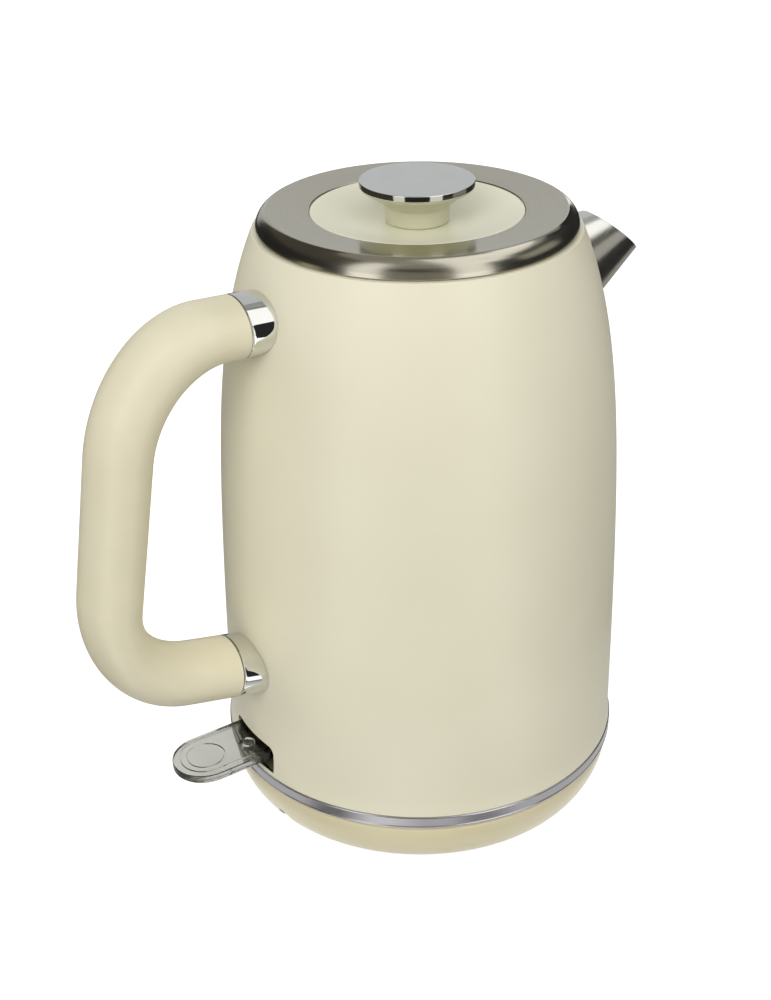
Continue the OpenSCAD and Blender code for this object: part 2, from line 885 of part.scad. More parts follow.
module handle_grip() {
    color(cream)
        difference() {
            union() {
                oval_sweep(grip_line(1), grip_line(-1), grip_w);
                for (top = [true, false])
                    difference() {
                        spigot(top);
                        jug_solid(0);
                    }
            }
            for (top = [true, false])
                along_arm(top)
                    at_screws()
                        rod_x(screw_r + running, -2, screw_l + 1);
        }
}

module collar(top) {
    color(chrome)
        difference() {
            along_arm(top)
                rotate([90, 0, 90])
                    translate([0, 0, -collar_root])
                        linear_extrude(height = collar_root + collar_l(top) - fit / 2)
                            polygon([for (k = [0:2 * section_sides - 1])
                                let (a = 180 * k / section_sides)
                                    [grip_w / 2 * cos(a), arm_t(top) / 2 * sin(a)]]);
            along_arm(top)
                rod_x(spigot_r + fit, -2 * collar_root, collar_l(top) + 1);
            jug_solid(0);
        }
}

module upper_collar() {
    collar(true);
}

module lower_collar() {
    collar(false);
}

module handle_screws() {
    color(steel)
        for (top = [true, false])
            along_arm(top)
                at_screws()
                    difference() {
                        union() {
                            rod_x(screw_head_r, -pad_depth - screw_head_h, -pad_depth);
                            rod_x(screw_r, -pad_depth - 1, screw_l);
                        }
                        translate([-pad_depth - screw_head_h - eps, 0, 0])
                            rotate([0, 90, 0])
                                cylinder(r = screw_hex_r, h = screw_hex_depth, $fn = 6);
                    }
}

// Stiffening pads inside the wall, flat where the screw heads sit
module handle_pads() {
    color(steel)
        difference() {
            intersection() {
                jug_solid(steel_t + gasket_t);
                for (top = [true, false])
                    along_arm(top)
                        block(-pad_depth, pad_reach, pad_w, -pad_h / 2, pad_h / 2);
            }
            handle_holes(screw_hole_r);
        }
}

module handle_gaskets() {
    color([0.85, 0.84, 0.80])
        difference() {
            intersection() {
                jug_solid(steel_t);
                for (top = [true, false])
                    along_arm(top)
                        block(-pad_depth, pad_reach, pad_w, -pad_h / 2, pad_h / 2);
            }
            jug_solid(steel_t + gasket_t);
            handle_holes(screw_hole_r);
        }
}

// ---------------------------------------------------------------- switch
lever_z = body_z + lever_pin_h;
lever_drop = 0.9;
lever_root = 1;
lever_tip = (lever_out + lever_pin_in) / cos(lever_lean);
lever_end = lever_tip - lever_w / 2;
lever_rim_w = 3;
lever_groove = 0.5;
boss_r = 2.9;
boss_x = lever_pin_in + 2.3;
boss_h = 2.2;
hub_pin_r = 3.4;
carrier_out = 10;
carrier_t = 3.3;
carrier_arm = 12;
carrier_arm_w = 8;
carrier_arm_t = 3;
plunger_r = 1.5;
plunger_reach = lever_pin_x - plunger_x + plunger_r;
plunger_z = lever_z + plunger_reach * tan(lever_lean) + carrier_arm_t / 2 / cos(lever_lean) + fit / 2;
bracket_t = 2;
ear_gap = 0.8;
ear_t = 2.5;
bracket_z = cover_top;
bracket_w = lever_w + 2 * (ear_gap + ear_t);
bracket_out = 8;
bracket_wall_w = 20;
ear_half = 4;
guide_half = 3;
lamp_r = 1.8;
bracket_wall_top = element_z + 0.2;
guide_z = lever_z + ear_half;

// Frame at the lever's pin: x runs outwards along the lever
module at_lever() {
    translate([-lever_pin_x, 0, lever_z])
        rotate([0, 180 - lever_lean, 0])
            mirror([0, 0, 1])
                children();
}

module lever_outline(inset) {
    translate([-lever_root, -lever_w / 2 + inset])
        square([lever_end + lever_root, lever_w - 2 * inset]);
    translate([lever_end, 0])
        circle(r = lever_w / 2 - inset);
}

// A groove on the lever's upper face that follows its edge, and a ring on its round end
module lever_grooves() {
    depth = lever_groove + eps;
    translate([0, 0, lever_drop + lever_t - lever_groove]) {
        linear_extrude(height = depth)
            difference() {
                lever_outline(lever_rim_w - 0.5);
                lever_outline(lever_rim_w);
                translate([-lever_root - eps, -lever_w / 2])
                    square([lever_root + carrier_out, lever_w]);
            }
        translate([lever_end, 0, 0])
            linear_extrude(height = depth)
                difference() {
                    circle(r = lever_ring_d / 2);
                    circle(r = lever_ring_d / 2 - 0.5);
                }
    }
}

module switch_lever() {
    color(clear)
        at_lever()
            difference() {
                union() {
                    translate([0, 0, lever_drop])
                        linear_extrude(height = lever_t)
                            lever_outline(0);
                    translate([boss_x, 0, 0])
                        rod_z(boss_r, lever_drop - boss_h, lever_drop + eps);
                }
                lever_grooves();
                translate([boss_x, 0, 0])
                    rod_z(boss_r - 1.2, lever_drop - boss_h - 1, lever_drop);
                rod_y(hub_pin_r + fit, through);
            }
}

// The lever's black carrier turns on the pin and lifts the plunger
module lever_carrier() {
    color(black)
        at_lever()
            difference() {
                union() {
                    rod_y(hub_pin_r, lever_w);
                    block(0, carrier_out, lever_w, lever_drop - carrier_t, lever_drop);
                    block(-carrier_arm, 0, carrier_arm_w, -carrier_arm_t / 2, carrier_arm_t / 2);
                }
                rod_y(pin_r + running, through);
            }
}

module lever_pin() {
    color(steel)
        translate([-lever_pin_x, 0, lever_z])
            rod_y(pin_r, bracket_w);
}

module lever_bracket() {
    color(black)
        difference() {
            union() {
                block(-lever_pin_x - bracket_out, -bracket_wall_x + bracket_wall_t, bracket_w,
                      bracket_z, bracket_z + bracket_t);
                difference() {
                    block(-lever_pin_x - ear_half, -lever_pin_x + ear_half, bracket_w,
                          bracket_z, guide_z);
                    block(-lever_pin_x - ear_half - 1, -lever_pin_x + ear_half + 1,
                          bracket_w - 2 * ear_t, bracket_z + bracket_t, guide_z + 1);
                }
                block(-bracket_wall_x, -bracket_wall_x + bracket_wall_t, bracket_wall_w,
                      bracket_z, bracket_wall_top);
                block(-plunger_x - guide_half, -bracket_wall_x + 1, carrier_arm_w,
                      guide_z, bracket_wall_top);
            }
            translate([-lever_pin_x, 0, lever_z])
                rod_y(pin_r + 0.02, through);
            translate([-plunger_x, 0, 0])
                rod_z(plunger_r + running, guide_z - 1, bracket_wall_top + 1);
        }
}

module indicator_lamp() {
    color([0.95, 0.55, 0.35])
        translate([0, 0, bracket_z + bracket_t + lamp_r])
            rod_x(lamp_r, -lever_pin_x - bracket_out, -lever_pin_x);
}

module trip_plunger() {
    color([0.9, 0.9, 0.88])
        translate([-plunger_x, 0, 0])
            rod_z(plunger_r, plunger_z, bracket_wall_top + 1);
}

// ---------------------------------------------------------------- lid
lid_z = body_top + loose;
lid_r = top_r - lid_in;
crease_r = lid_r - shoulder_w;
crease_z = lid_z + lid_h;
insert_r = crease_r - lid_flat_w;
lip_h = 0.9;
lid_fall = 1;
insert_edge_z = crease_z - lid_fall + 0.2;
dish_z = insert_edge_z - insert_dish;
dish_power = 1.7;
dish_steps = 12;
dish_flat_r = stem_d / 2 + 0.6;
shoulder_steps = 8;
shoulder_end = 68;
pan_r = neck_r - 1.9;
pan_z = lid_z - plug_h;
seal_h = 3;
seal_z = body_top - neck_h + seal_h / 2;
seal_r = neck_r - loose;
stem_r = stem_d / 2;
stem_top = dish_z + stem_h;
knob_screw_r = 2;
knob_screw_head_r = 3.6;
knob_screw_head_h = 1.6;
knob_screw_gap = 4;
insert_boss_r = 6;
collar_drop = 3;
knob_r = knob_d / 2;
neck_share = 0.45;
neck_top = dish_z + neck_share * stem_h;
flare_r = knob_r - 0.6;
flare_rim = 0.7;
flare_power = 1.3;
flare_steps = 10;

// Height of the lid ring's upper face between its inner edge and its crease
function ring_top(r) = crease_z - lid_fall * (crease_r - r) / (crease_r - insert_r);
function shoulder(inset) =
    [for (i = [0:shoulder_steps])
        let (a = shoulder_end * i / shoulder_steps, w = (lid_r - crease_r) / (1 - cos(shoulder_end)))
            [lid_r - w * (1 - cos(a)) - inset * cos(a / 2),
             lid_z + lip_h + (lid_h - lip_h) * sin(a) / sin(shoulder_end) - inset * sin(a)]];
function dish(r, drop) =
    dish_z - drop + insert_dish * pow((r - dish_flat_r) / (insert_r - dish_flat_r), dish_power);
function dish_points(drop, r_max) =
    concat([[0, dish_z - drop]],
           [for (i = [0:dish_steps]) let (r = dish_flat_r + (r_max - dish_flat_r) * i / dish_steps)
               [r, dish(r, drop)]]);

module lid_ring() {
    t = steel_t;
    color(steel)
        rotate_extrude()
            polygon(concat(
                [[lid_r - t, lid_z], [lid_r, lid_z]],
                shoulder(0),
                [[insert_r + 0.6, ring_top(insert_r)], [insert_r, ring_top(insert_r) - 0.6],
                 [insert_r, ring_top(insert_r) - collar_drop],
                 [insert_r + t, ring_top(insert_r) - collar_drop],
                 [insert_r + t, ring_top(insert_r) - t], [crease_r - t, crease_z - t]],
                reverse([for (p = shoulder(t)) if (p[1] < crease_z - t) p])));
}

module lid_insert() {
    r_out = insert_r - fit;
    color(cream)
        difference() {
            union() {
                rotate_extrude()
                    polygon(concat(dish_points(0, r_out - 0.5), [[r_out, insert_edge_z - 0.5]],
                                   [[r_out, insert_edge_z - insert_t - 1]],
                                   reverse(dish_points(insert_t, r_out - 1))));
                rod_z(insert_boss_r, pan_z + steel_t, dish_z - insert_t / 2);
            }
            rod_z(knob_screw_r + fit, pan_z, dish_z + 2);
        }
}

module lid_pan() {
    top = ring_top(pan_r) - steel_t - fit;
    color(steel)
        difference() {
            rod_z(pan_r, pan_z, top);
            rod_z(pan_r - steel_t, pan_z + steel_t, top + 1);
            rod_z(knob_screw_r + fit, pan_z - 1, pan_z + 2);
        }
}

module lid_seal() {
    color([0.85, 0.84, 0.80])
        rotate_extrude()
            polygon([[pan_r, seal_z], [seal_r - 0.6, seal_z], [seal_r, seal_z + 0.6],
                     [seal_r, seal_z + seal_h - 0.6], [seal_r - 0.6, seal_z + seal_h],
                     [pan_r, seal_z + seal_h]]);
}

module knob_stem() {
    color(cream)
        difference() {
            rotate_extrude()
                polygon(concat(
                    [[0, dish_z], [stem_r - 0.4, dish_z], [stem_r, dish_z + 0.4]],
                    [for (i = [0:flare_steps]) let (t = i / flare_steps)
                        [stem_r + 0.2 + (flare_r - stem_r - 0.2) * pow(t, flare_power),
                         neck_top + (stem_top - flare_rim - neck_top) * t]],
                    [[flare_r, stem_top], [0, stem_top]]));
            rod_z(knob_screw_r + running, dish_z - 1, stem_top - knob_screw_gap + 1);
        }
}

module knob_cap() {
    color(chrome)
        rotate_extrude()
            polygon([[0, stem_top], [knob_r - 0.3, stem_top], [knob_r, stem_top + 0.3],
                     [knob_r, stem_top + knob_t - 0.3], [knob_r - 0.3, stem_top + knob_t],
                     [0, stem_top + knob_t]]);
}

module knob_screw() {
    head_z = pan_z - knob_screw_head_h;
    color(steel)
        difference() {
            union() {
                rod_z(knob_screw_head_r, head_z, pan_z);
                rod_z(knob_screw_r, head_z + eps, stem_top - knob_screw_gap);
            }
            translate([0, 0, head_z - eps])
                cylinder(r = hex_r, h = hex_depth, $fn = 6);
        }
}

base_shell();
base_bottom_cover();
base_foot_ring();
base_socket();
base_contacts();
base_screws();
cord_grommet();
socket_shutter();
body_shell();
bottom_trim_ring();
underside_cover();
cover_screws();
kettle_connector();
connector_contacts();
control_unit();
bimetal_discs();
heater_plate();
heat_diffuser();
heating_element();
element_terminals();
plate_seal();
steam_tube();
spout();
filter_clips();
filter_frame();
filter_mesh();
handle_grip();
upper_collar();
lower_collar();
handle_screws();
handle_pads();
handle_gaskets();
lever_bracket();
lever_pin();
indicator_lamp();
switch_lever();
lever_carrier();
trip_plunger();
lid_ring();
lid_insert();
lid_pan();
lid_seal();
knob_stem();
knob_cap();
knob_screw();
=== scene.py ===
"""Looks of a cordless electric kettle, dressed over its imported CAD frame.

The frame brings the bodies and the small inner parts. The large visible pieces are made again
here as fine meshes with rounded edges, from the same named sizes as the CAD source. Sizes are in
millimetres, with Z up, the spout along +X, the handle along -X and the worktop at z = 0. A mesh
is scaled to metres when it is made.
"""

from math import cos, hypot, inf, pi, radians, sin, sqrt, tan

import bmesh
import bpy
from mathutils import Matrix, Vector


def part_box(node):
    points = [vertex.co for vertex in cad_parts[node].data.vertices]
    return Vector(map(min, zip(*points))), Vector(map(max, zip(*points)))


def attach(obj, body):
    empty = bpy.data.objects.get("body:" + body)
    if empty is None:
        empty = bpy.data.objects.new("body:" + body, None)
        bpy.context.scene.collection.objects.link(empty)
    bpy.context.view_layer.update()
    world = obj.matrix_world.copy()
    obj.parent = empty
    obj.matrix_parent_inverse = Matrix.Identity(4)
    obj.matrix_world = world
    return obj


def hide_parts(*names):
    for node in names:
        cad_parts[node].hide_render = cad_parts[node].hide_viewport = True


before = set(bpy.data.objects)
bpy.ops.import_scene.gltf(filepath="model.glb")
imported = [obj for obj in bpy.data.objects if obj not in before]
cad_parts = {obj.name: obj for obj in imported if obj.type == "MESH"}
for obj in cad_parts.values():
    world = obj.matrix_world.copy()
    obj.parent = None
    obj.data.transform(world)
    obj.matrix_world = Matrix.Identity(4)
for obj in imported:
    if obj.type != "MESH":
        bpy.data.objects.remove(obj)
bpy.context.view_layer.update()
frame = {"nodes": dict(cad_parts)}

MM = 0.001
TURN = 2 * pi


def box_mm(node):
    """Lowest and highest corner of a CAD node, in millimetres."""
    low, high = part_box(node)
    return low / MM, high / MM


# ---- sizes
# Power base
BASE_LOW, BASE_HIGH = box_mm("base_shell")
BASE_R = BASE_HIGH.x
FOOT_H = BASE_LOW.z
HUB_TOP = BASE_HIGH.z
HUB_H = 6.4
SEAT_Z = HUB_TOP - HUB_H
BASE_EDGE_IN = 5.9
BASE_ROUND = 1.4
BASE_WALL = 2.2
SEAT_RIM = 16
SEAT_DISH = 1.5
HUB_R = 23.5
SOCKET_HOLE_R = box_mm("base_socket")[1].x
CORD_ANGLE = 11.2
CORD_W = 7
CORD_H = 6
BASE_COVER_R = box_mm("base_bottom_cover")[1].x
CORD_INSET = 3.9

# Jug body
BODY_LOW, BODY_HIGH = box_mm("body_shell")
BODY_Z = BODY_LOW.z
BODY_TOP = BODY_HIGH.z
BODY_H = BODY_TOP - BODY_Z
BODY_R = 74.7
BARREL_TAPER = 5.1
SHOULDER_DROP = 12.3
BOTTOM_FLARE = 0.6
FLARE_H = 8
STEEL_T = 0.8
NECK_R = 50.7
NECK_H = 8.5
RING_LOW, RING_HIGH = box_mm("bottom_trim_ring")
RING_R = RING_HIGH.x
RING_IN = 72.8
RING_COLLAR_R = 73.98

# Spout; its cone starts this many radians past the point where mouth and wall meet
SPOUT_TIP = Vector((box_mm("spout")[1].x, 0, 195.3))
SPOUT_RISE = 20
SPOUT_HALF = 16.4
SPOUT_TIP_R = 9.4
SPOUT_CUT = 41
SPOUT_START = 0.002

# Handle
ARM_H = {"top": BODY_TOP - 21.8, "low": BODY_Z + 43.8}
ARM_RISE = {"top": 2, "low": 10.5}
ARM_T = {"top": 21, "low": 21.4}
COLLAR_L = {"top": 7.4, "low": 8.6}
COLLAR_GAP = 0.04
EDGE_ROUND = 0.45
GRIP_W = 27.5
GRIP_OUT = 48.2
GRIP_LEAN = 8.8
GRIP_CLOSE = 0.3
GRIP_T_MID = 22.2
GRIP_MID_Z = BODY_Z + BODY_H / 2 + 3
CORNER_PULL = 0.56
CORNERS = {
    ("top", 1): (37.4, 49.2),
    ("top", -1): (25.1, 30.4),
    ("low", 1): (39, 45.6),
    ("low", -1): (23.8, 19.4),
}

# Switch lever
PIN_X = 60
PIN_Z = 30.8
LEVER_LEAN = 2.4
LEVER_W = 24.8
LEVER_END = 34.24
LEVER_BOTTOM = 0.9
LEVER_T = 3.3
LEVER_ROOT = 3.7
LEVER_RIM = 3
LEVER_RING_R = 7.3
GROOVE_W = 0.5
GROOVE_DEPTH = 0.45
GROOVE_SLOPE = 0.05
LIP = 0.08
BOSS_X = 17
BOSS_R = 2.9
BOSS_H = 2.2
SLOT_HALF = 14.1
SLOT_LOW = BODY_Z + 1.8
SLOT_H = 10.9
SLOT_ROUND = 3
LINING_WALL = 1.1
LINING_DEPTH = 8.5
LINING_LOW = SLOT_LOW - 0.28

# Lid
LID_LOW, LID_HIGH = box_mm("lid_ring")
LID_Z = LID_LOW.z
LID_R = LID_HIGH.x
CREASE_Z = LID_HIGH.z
CREASE_R = 51.8
LIP_H = 0.9
SHOULDER_END = 68
INSERT_R = 37.2
LID_FALL = 1
COLLAR_DROP = 3
INSERT_EDGE_Z = box_mm("lid_insert")[1].z
INSERT_DISH = 4.3
INSERT_T = 2
DISH_Z = INSERT_EDGE_Z - INSERT_DISH
DISH_FLAT_R = 11.6
DISH_POWER = 1.7
STEM_R = 11
KNOB_LOW, KNOB_HIGH = box_mm("knob_cap")
KNOB_R = KNOB_HIGH.x
STEM_TOP = KNOB_LOW.z
NECK_SHARE = 0.45
NECK_TOP = DISH_Z + NECK_SHARE * (STEM_TOP - DISH_Z)
FLARE_R = KNOB_R - 0.6
FLARE_RIM = 0.7
FLARE_POWER = 1.3

# Brushed steel: where the lid's polish changes below its crease, and the lines' mean radius
POLISH_DROP = 0.7
POLISH_FADE = 0.4
BRUSHED_R = 50

# Camera and studio, in metres and degrees; angles run from the camera's azimuth
CAMERA_AT = Vector((-0.2940, -0.4615, 0.4066))
CAMERA_WAY = Vector((0.45685, 0.75424, -0.47162))
CAMERA_RIGHT = Vector((0.8553, -0.5181, 0))
CAMERA_ROLL = -0.855
CAMERA_LENS = 59.507
CAMERA_AZIMUTH = 238.8
WORLD_LIGHT = 0.35
STUDIO_MIDDLE = 0.12
LAMP_FAR = 1.6
LAMP_SIZE = 1
FLOOR_HALF = 3
FLAG_FAR = 2.2
FLAG_ROWS = 12
PANEL_COLUMNS = 24
TABLE_GAP = 0.003


# ---- meshes
def steps_between(a, b, count):
    """Evenly spaced values from a to b, both included."""
    return [a + (b - a) * k / count for k in range(count + 1)]


def around(count):
    """Evenly spaced angles of a full turn, its end left out."""
    return steps_between(0, TURN, count)[:-1]


def face_outwards(mesh):
    """Joins points that fall together and turns every face of a closed skin outwards."""
    bm = bmesh.new()
    bm.from_mesh(mesh)
    bmesh.ops.remove_doubles(bm, verts=bm.verts, dist=1e-7)
    bmesh.ops.recalc_face_normals(bm, faces=bm.faces)
    bm.to_mesh(mesh)
    bm.free()


def add_object(name, data):
    """A new object in the scene."""
    obj = bpy.data.objects.new(name, data)
    bpy.context.scene.collection.objects.link(obj)
    return obj


def make_object(name, points, faces):
    """A mesh object from points in millimetres."""
    mesh = bpy.data.meshes.new(name)
    mesh.from_pydata([[value * MM for value in point] for point in points], [], faces)
    face_outwards(mesh)
    return add_object(name, mesh)


def skin(name, rings, cap=True, loop=False):
    """A skin over closed rings of points, its ends capped or joined to each other."""
    count = len(rings[0])
    points = [p for ring in rings for p in ring]
    faces = []
    for i in range(len(rings) if loop else len(rings) - 1):
        a = i * count
        b = ((i + 1) % len(rings)) * count
        for k in range(count):
            m = (k + 1) % count
            faces.append((a + k, a + m, b + m, b + k))
    if cap:
        faces.append(tuple(range(count)))
        faces.append(tuple(range(len(points) - count, len(points))))
    return make_object(name, points, faces)


def lathe(name, outline, sides=224):
    """Turns an outline of (radius, height) points about the jug's axis."""
    on_axis = outline[0][0] == 0 and outline[-1][0] == 0
    rings = [[(r * cos(a), r * sin(a), z) for a in around(sides)] for r, z in outline]
    return skin(name, rings, cap=False, loop=not on_axis)


def fillet(outline, radii, steps=6):
    """Rounds corners of an outline; radii maps the index of a corner to its radius."""
    made = []
    for i, corner in enumerate(outline):
        radius = radii.get(i, 0)
        p = Vector(corner)
        if not radius:
            made.append(tuple(p))
            continue
        before = Vector(outline[i - 1]) - p
        after = Vector(outline[(i + 1) % len(outline)]) - p
        u = before.normalized()
        v = after.normalized()
        half = u.angle(v) / 2
        reach = min(radius / tan(half), 0.48 * before.length, 0.48 * after.length)
        radius = reach * tan(half)
        centre = p + (u + v).normalized() * (radius / sin(half))
        start = p + u * reach - centre
        end = p + v * reach - centre
        sweep = start.angle(end)
        for t in steps_between(0, 1, steps):
            w0 = sin((1 - t) * sweep) / sin(sweep)
            w1 = sin(t * sweep) / sin(sweep)
            made.append(tuple(centre + start * w0 + end * w1))
    return made


def smooth(obj, angle):
    """Smooth shading whose large faces keep their own direction beside a rounded edge."""
    obj.data.shade_smooth()
    obj.data.set_sharp_from_angle(angle=radians(angle))
    weighted = obj.modifiers.new("weighted_normals", "WEIGHTED_NORMAL")
    weighted.mode = "FACE_AREA"
    weighted.keep_sharp = True


def cut(obj, cutter):
    """Takes the cutter's volume out of the piece."""
    tool = obj.modifiers.new("cut", "BOOLEAN")
    tool.operation = "DIFFERENCE"
    tool.solver = "EXACT"
    tool.object = cutter
    graph = bpy.context.evaluated_depsgraph_get()
    made = bpy.data.meshes.new_from_object(obj.evaluated_get(graph))
    obj.modifiers.clear()
    obj.data = made
    bpy.data.objects.remove(cutter)


def set_side_normals(obj, radius_at, tolerance=0.02):
    """Gives the turned outer side its exact directions, also beside an opening cut in it."""
    mesh = obj.data
    mesh.shade_smooth()
    mesh.set_sharp_from_angle(angle=radians(35))
    corners = [tuple(c.vector) for c in mesh.corner_normals]
    exact = {}
    for vert in mesh.vertices:
        x, y, z = vert.co / MM
        r = hypot(x, y)
        if abs(r - radius_at(z)) < tolerance:
            slope = (radius_at(z + 0.05) - radius_at(z - 0.05)) / 0.1
            exact[vert.index] = Vector((x / r, y / r, -slope)).normalized()
    for face in mesh.polygons:
        if not all(v in exact for v in face.vertices):
            continue
        if face.normal.dot(exact[face.vertices[0]]) < 0.9:
            continue
        for loop in face.loop_indices:
            corners[loop] = tuple(exact[mesh.loops[loop].vertex_index])
    mesh.normals_split_custom_set(corners)


def place(obj, body, material, slot, *nodes, angle=35):
    """Smooths and paints a piece, which rides on its body in the place of CAD nodes.

    A piece whose directions are already set has no angle.
    """
    if angle:
        smooth(obj, angle)
    obj.data.materials.clear()
    obj.data.materials.append(material)
    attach(obj, body)
    if nodes:
        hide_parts(*nodes)


# ---- shapes shared by pieces
def body_r(z):
    """Radius of the painted body at a height."""
    h = z - BODY_Z
    s = h / BODY_H
    flare = BOTTOM_FLARE * max(0.0, 1 - h / FLARE_H) ** 2
    return BODY_R - BARREL_TAPER * s**2 - SHOULDER_DROP * abs(s) ** 6 + flare


def base_side(z, inset=0.0):
    """Radius of the base's rounded side at a height."""
    tangent_z = SEAT_Z - BASE_ROUND
    rise = tangent_z - FOOT_H
    radius = (rise**2 + BASE_EDGE_IN**2) / (2 * BASE_EDGE_IN)
    return BASE_R - radius + sqrt(radius**2 - (tangent_z - z) ** 2) - inset


def ring_top(r):
    """Height of the lid ring's upper face at a radius."""
    return CREASE_Z - LID_FALL * (CREASE_R - r) / (CREASE_R - INSERT_R)


def quarter_round(radius, count):
    """Inset and rise of the points of a rounded edge, from its face to its side."""
    turns = steps_between(0, pi / 2, count)
    return [(radius * (1 - sin(a)), radius * (1 - cos(a))) for a in turns]


def bisect(low, high, beyond):
    """The value from which beyond(value) holds; it does at high, and doesn't at low."""
    for _ in range(50):
        middle = (low + high) / 2
        if beyond(middle):
            high = middle
        else:
            low = middle
    return high


def outside_body(p):
    """Whether a point lies outside the painted body."""
    return hypot(p.x, p.y) > body_r(p.z)


def reach_body(start, direction, low, high):
    """How far along a line it meets the painted body; it is outside the body at high."""
    return bisect(low, high, lambda s: outside_body(start + direction * s))


# ---- pieces of the base
def make_base_casing(material):
    """Round casing with a rounded side, a dished seat and the hub in its middle."""
    tangent_z = SEAT_Z - BASE_ROUND
    seat_in = BASE_R - SEAT_RIM
    floor = SEAT_Z - SEAT_DISH
    side = [(base_side(z), z) for z in steps_between(FOOT_H, tangent_z, 30)]
    shoulder = [(BASE_R - rise, SEAT_Z - inset) for inset, rise in quarter_round(BASE_ROUND, 10)[1:]]
    corners = [
        (seat_in + 4, SEAT_Z),
        (seat_in, SEAT_Z),
        (seat_in - SEAT_DISH, floor),
        (HUB_R, floor),
        (HUB_R, HUB_TOP),
        (SOCKET_HOLE_R + 0.1, HUB_TOP),
        (SOCKET_HOLE_R + 0.1, HUB_TOP - BASE_WALL),
        (HUB_R - BASE_WALL, HUB_TOP - BASE_WALL),
        (HUB_R - BASE_WALL, floor - BASE_WALL),
        (seat_in - SEAT_DISH, floor - BASE_WALL),
        (seat_in, SEAT_Z - BASE_WALL),
    ]
    seat = fillet(corners, {1: 1.2, 2: 1.2, 3: 1, 4: 0.8, 5: 0.4})
    inside = [(base_side(z, BASE_WALL), z) for z in steps_between(SEAT_Z - BASE_WALL, FOOT_H, 12)]
    outline = side + shoulder + seat + inside
    low_r = base_side(FOOT_H)
    lower_edge = [(low_r - 0.5, FOOT_H), (low_r - 0.15, FOOT_H + 0.12)]
    lower_edge.append((base_side(FOOT_H + 0.5), FOOT_H + 0.5))
    casing = lathe("base_casing", lower_edge + outline[2:])
    cut(casing, cord_cutter())
    set_side_normals(casing, lambda z: base_side(min(z, tangent_z)))
    place(casing, "base", material, "cream_gloss", "base_shell", angle=None)


def cord_cutter():
    """The cord's outlet: a small arch through the casing's lower edge."""
    low = FOOT_H - 2
    straight = CORD_H - CORD_W / 2 + FOOT_H
    side = CORD_W / 2
    arch = [(side * cos(a), straight + side * sin(a)) for a in steps_between(0, pi, 16)]
    section = [(side, low)] + arch + [(-side, low)]
    turn = Matrix.Rotation(radians(180 + CORD_ANGLE), 3, "Z")
    rings = [[turn @ Vector((x, y, z)) for y, z in section] for x in (BASE_COVER_R - CORD_INSET, 90)]
    return skin("cord_cutter", rings)


# ---- pieces of the jug
def bare_inside(body, steel):
    """Leaves the barrel's steel bare on the faces inside it."""
    body.data.materials.append(steel)
    for face in body.data.polygons:
        x, y, z = face.center / MM
        if z < BODY_TOP - STEEL_T and hypot(x, y) < body_r(z) - STEEL_T * 0.6:
            face.material_index = 1


def make_jug_body(material, steel):
    """Painted barrel with its turned-in neck, the spout's hole and the switch's slot."""
    outer = [(body_r(z), z) for z in steps_between(BODY_Z, BODY_TOP, 110)]
    under = BODY_TOP - STEEL_T
    corners = [
        (body_r(BODY_TOP - 1.8), BODY_TOP - 1.8),
        (body_r(BODY_TOP), BODY_TOP),
        (NECK_R, BODY_TOP),
        (NECK_R, BODY_TOP - NECK_H),
        (NECK_R + STEEL_T, BODY_TOP - NECK_H),
        (NECK_R + STEEL_T, under),
        (body_r(under) - STEEL_T, under),
        (body_r(under - 2) - STEEL_T, under - 2),
    ]
    neck = fillet(corners, {1: 0.5, 2: 0.7, 3: 0.3, 4: 0.3, 6: 0.3})
    inner = [(body_r(z) - STEEL_T, z) for z in steps_between(under - 3, BODY_Z + 0.3, 60)]
    hem = [(body_r(BODY_Z) - STEEL_T + 0.25, BODY_Z), (body_r(BODY_Z) - 0.25, BODY_Z)]
    start = [(body_r(BODY_Z + 0.3), BODY_Z + 0.3)]
    body = lathe("jug_body", start + outer[1:-1] + neck[1:] + inner + hem, 288)
    cut(body, slot_cutter())
    cut(body, spout_cutter())
    set_side_normals(body, body_r)
    place(body, "kettle", material, "cream_paint", "body_shell", angle=None)
    bare_inside(body, steel)


def slot_outline(outset=0):
    """Outline of the switch's slot, seen along X: rounded upper corners, square lower ones."""
    half = SLOT_HALF + outset
    low = SLOT_LOW - outset
    high = SLOT_LOW + SLOT_H + outset
    radius = SLOT_ROUND + outset
    return fillet([(-half, low), (half, low), (half, high), (-half, high)], {2: radius, 3: radius}, 8)


def slot_cutter():
    """The switch's slot through the body's wall."""
    rings = [[(x, y, z) for y, z in slot_outline()] for x in (-88, -62)]
    return skin("slot_cutter", rings)


def make_slot_lining(material):
    """Lining behind the slot's edge, which closes the gap round the lever."""
    wall_r = BODY_R - STEEL_T
    shape = slot_outline()
    wide = slot_outline(LINING_WALL)

    def front(outline):
        """The outline laid on the inside of the body's wall."""
        return [(-sqrt((body_r(z) - STEEL_T - 0.05) ** 2 - y**2), y, z) for y, z in outline]

    def back(outline):
        """The outline at the lining's inner end."""
        return [(LINING_DEPTH - wall_r, y, z) for y, z in outline]

    rings = [front(wide), front(shape), back(shape), back(wide)]
    rings = [[(x, y, max(z, LINING_LOW)) for x, y, z in ring] for ring in rings]
    lining = skin("slot_lining", rings, cap=False, loop=True)
    # The lining's dark colour is painted shade inside the slot.
    place(lining, "kettle", material, "black_plastic")


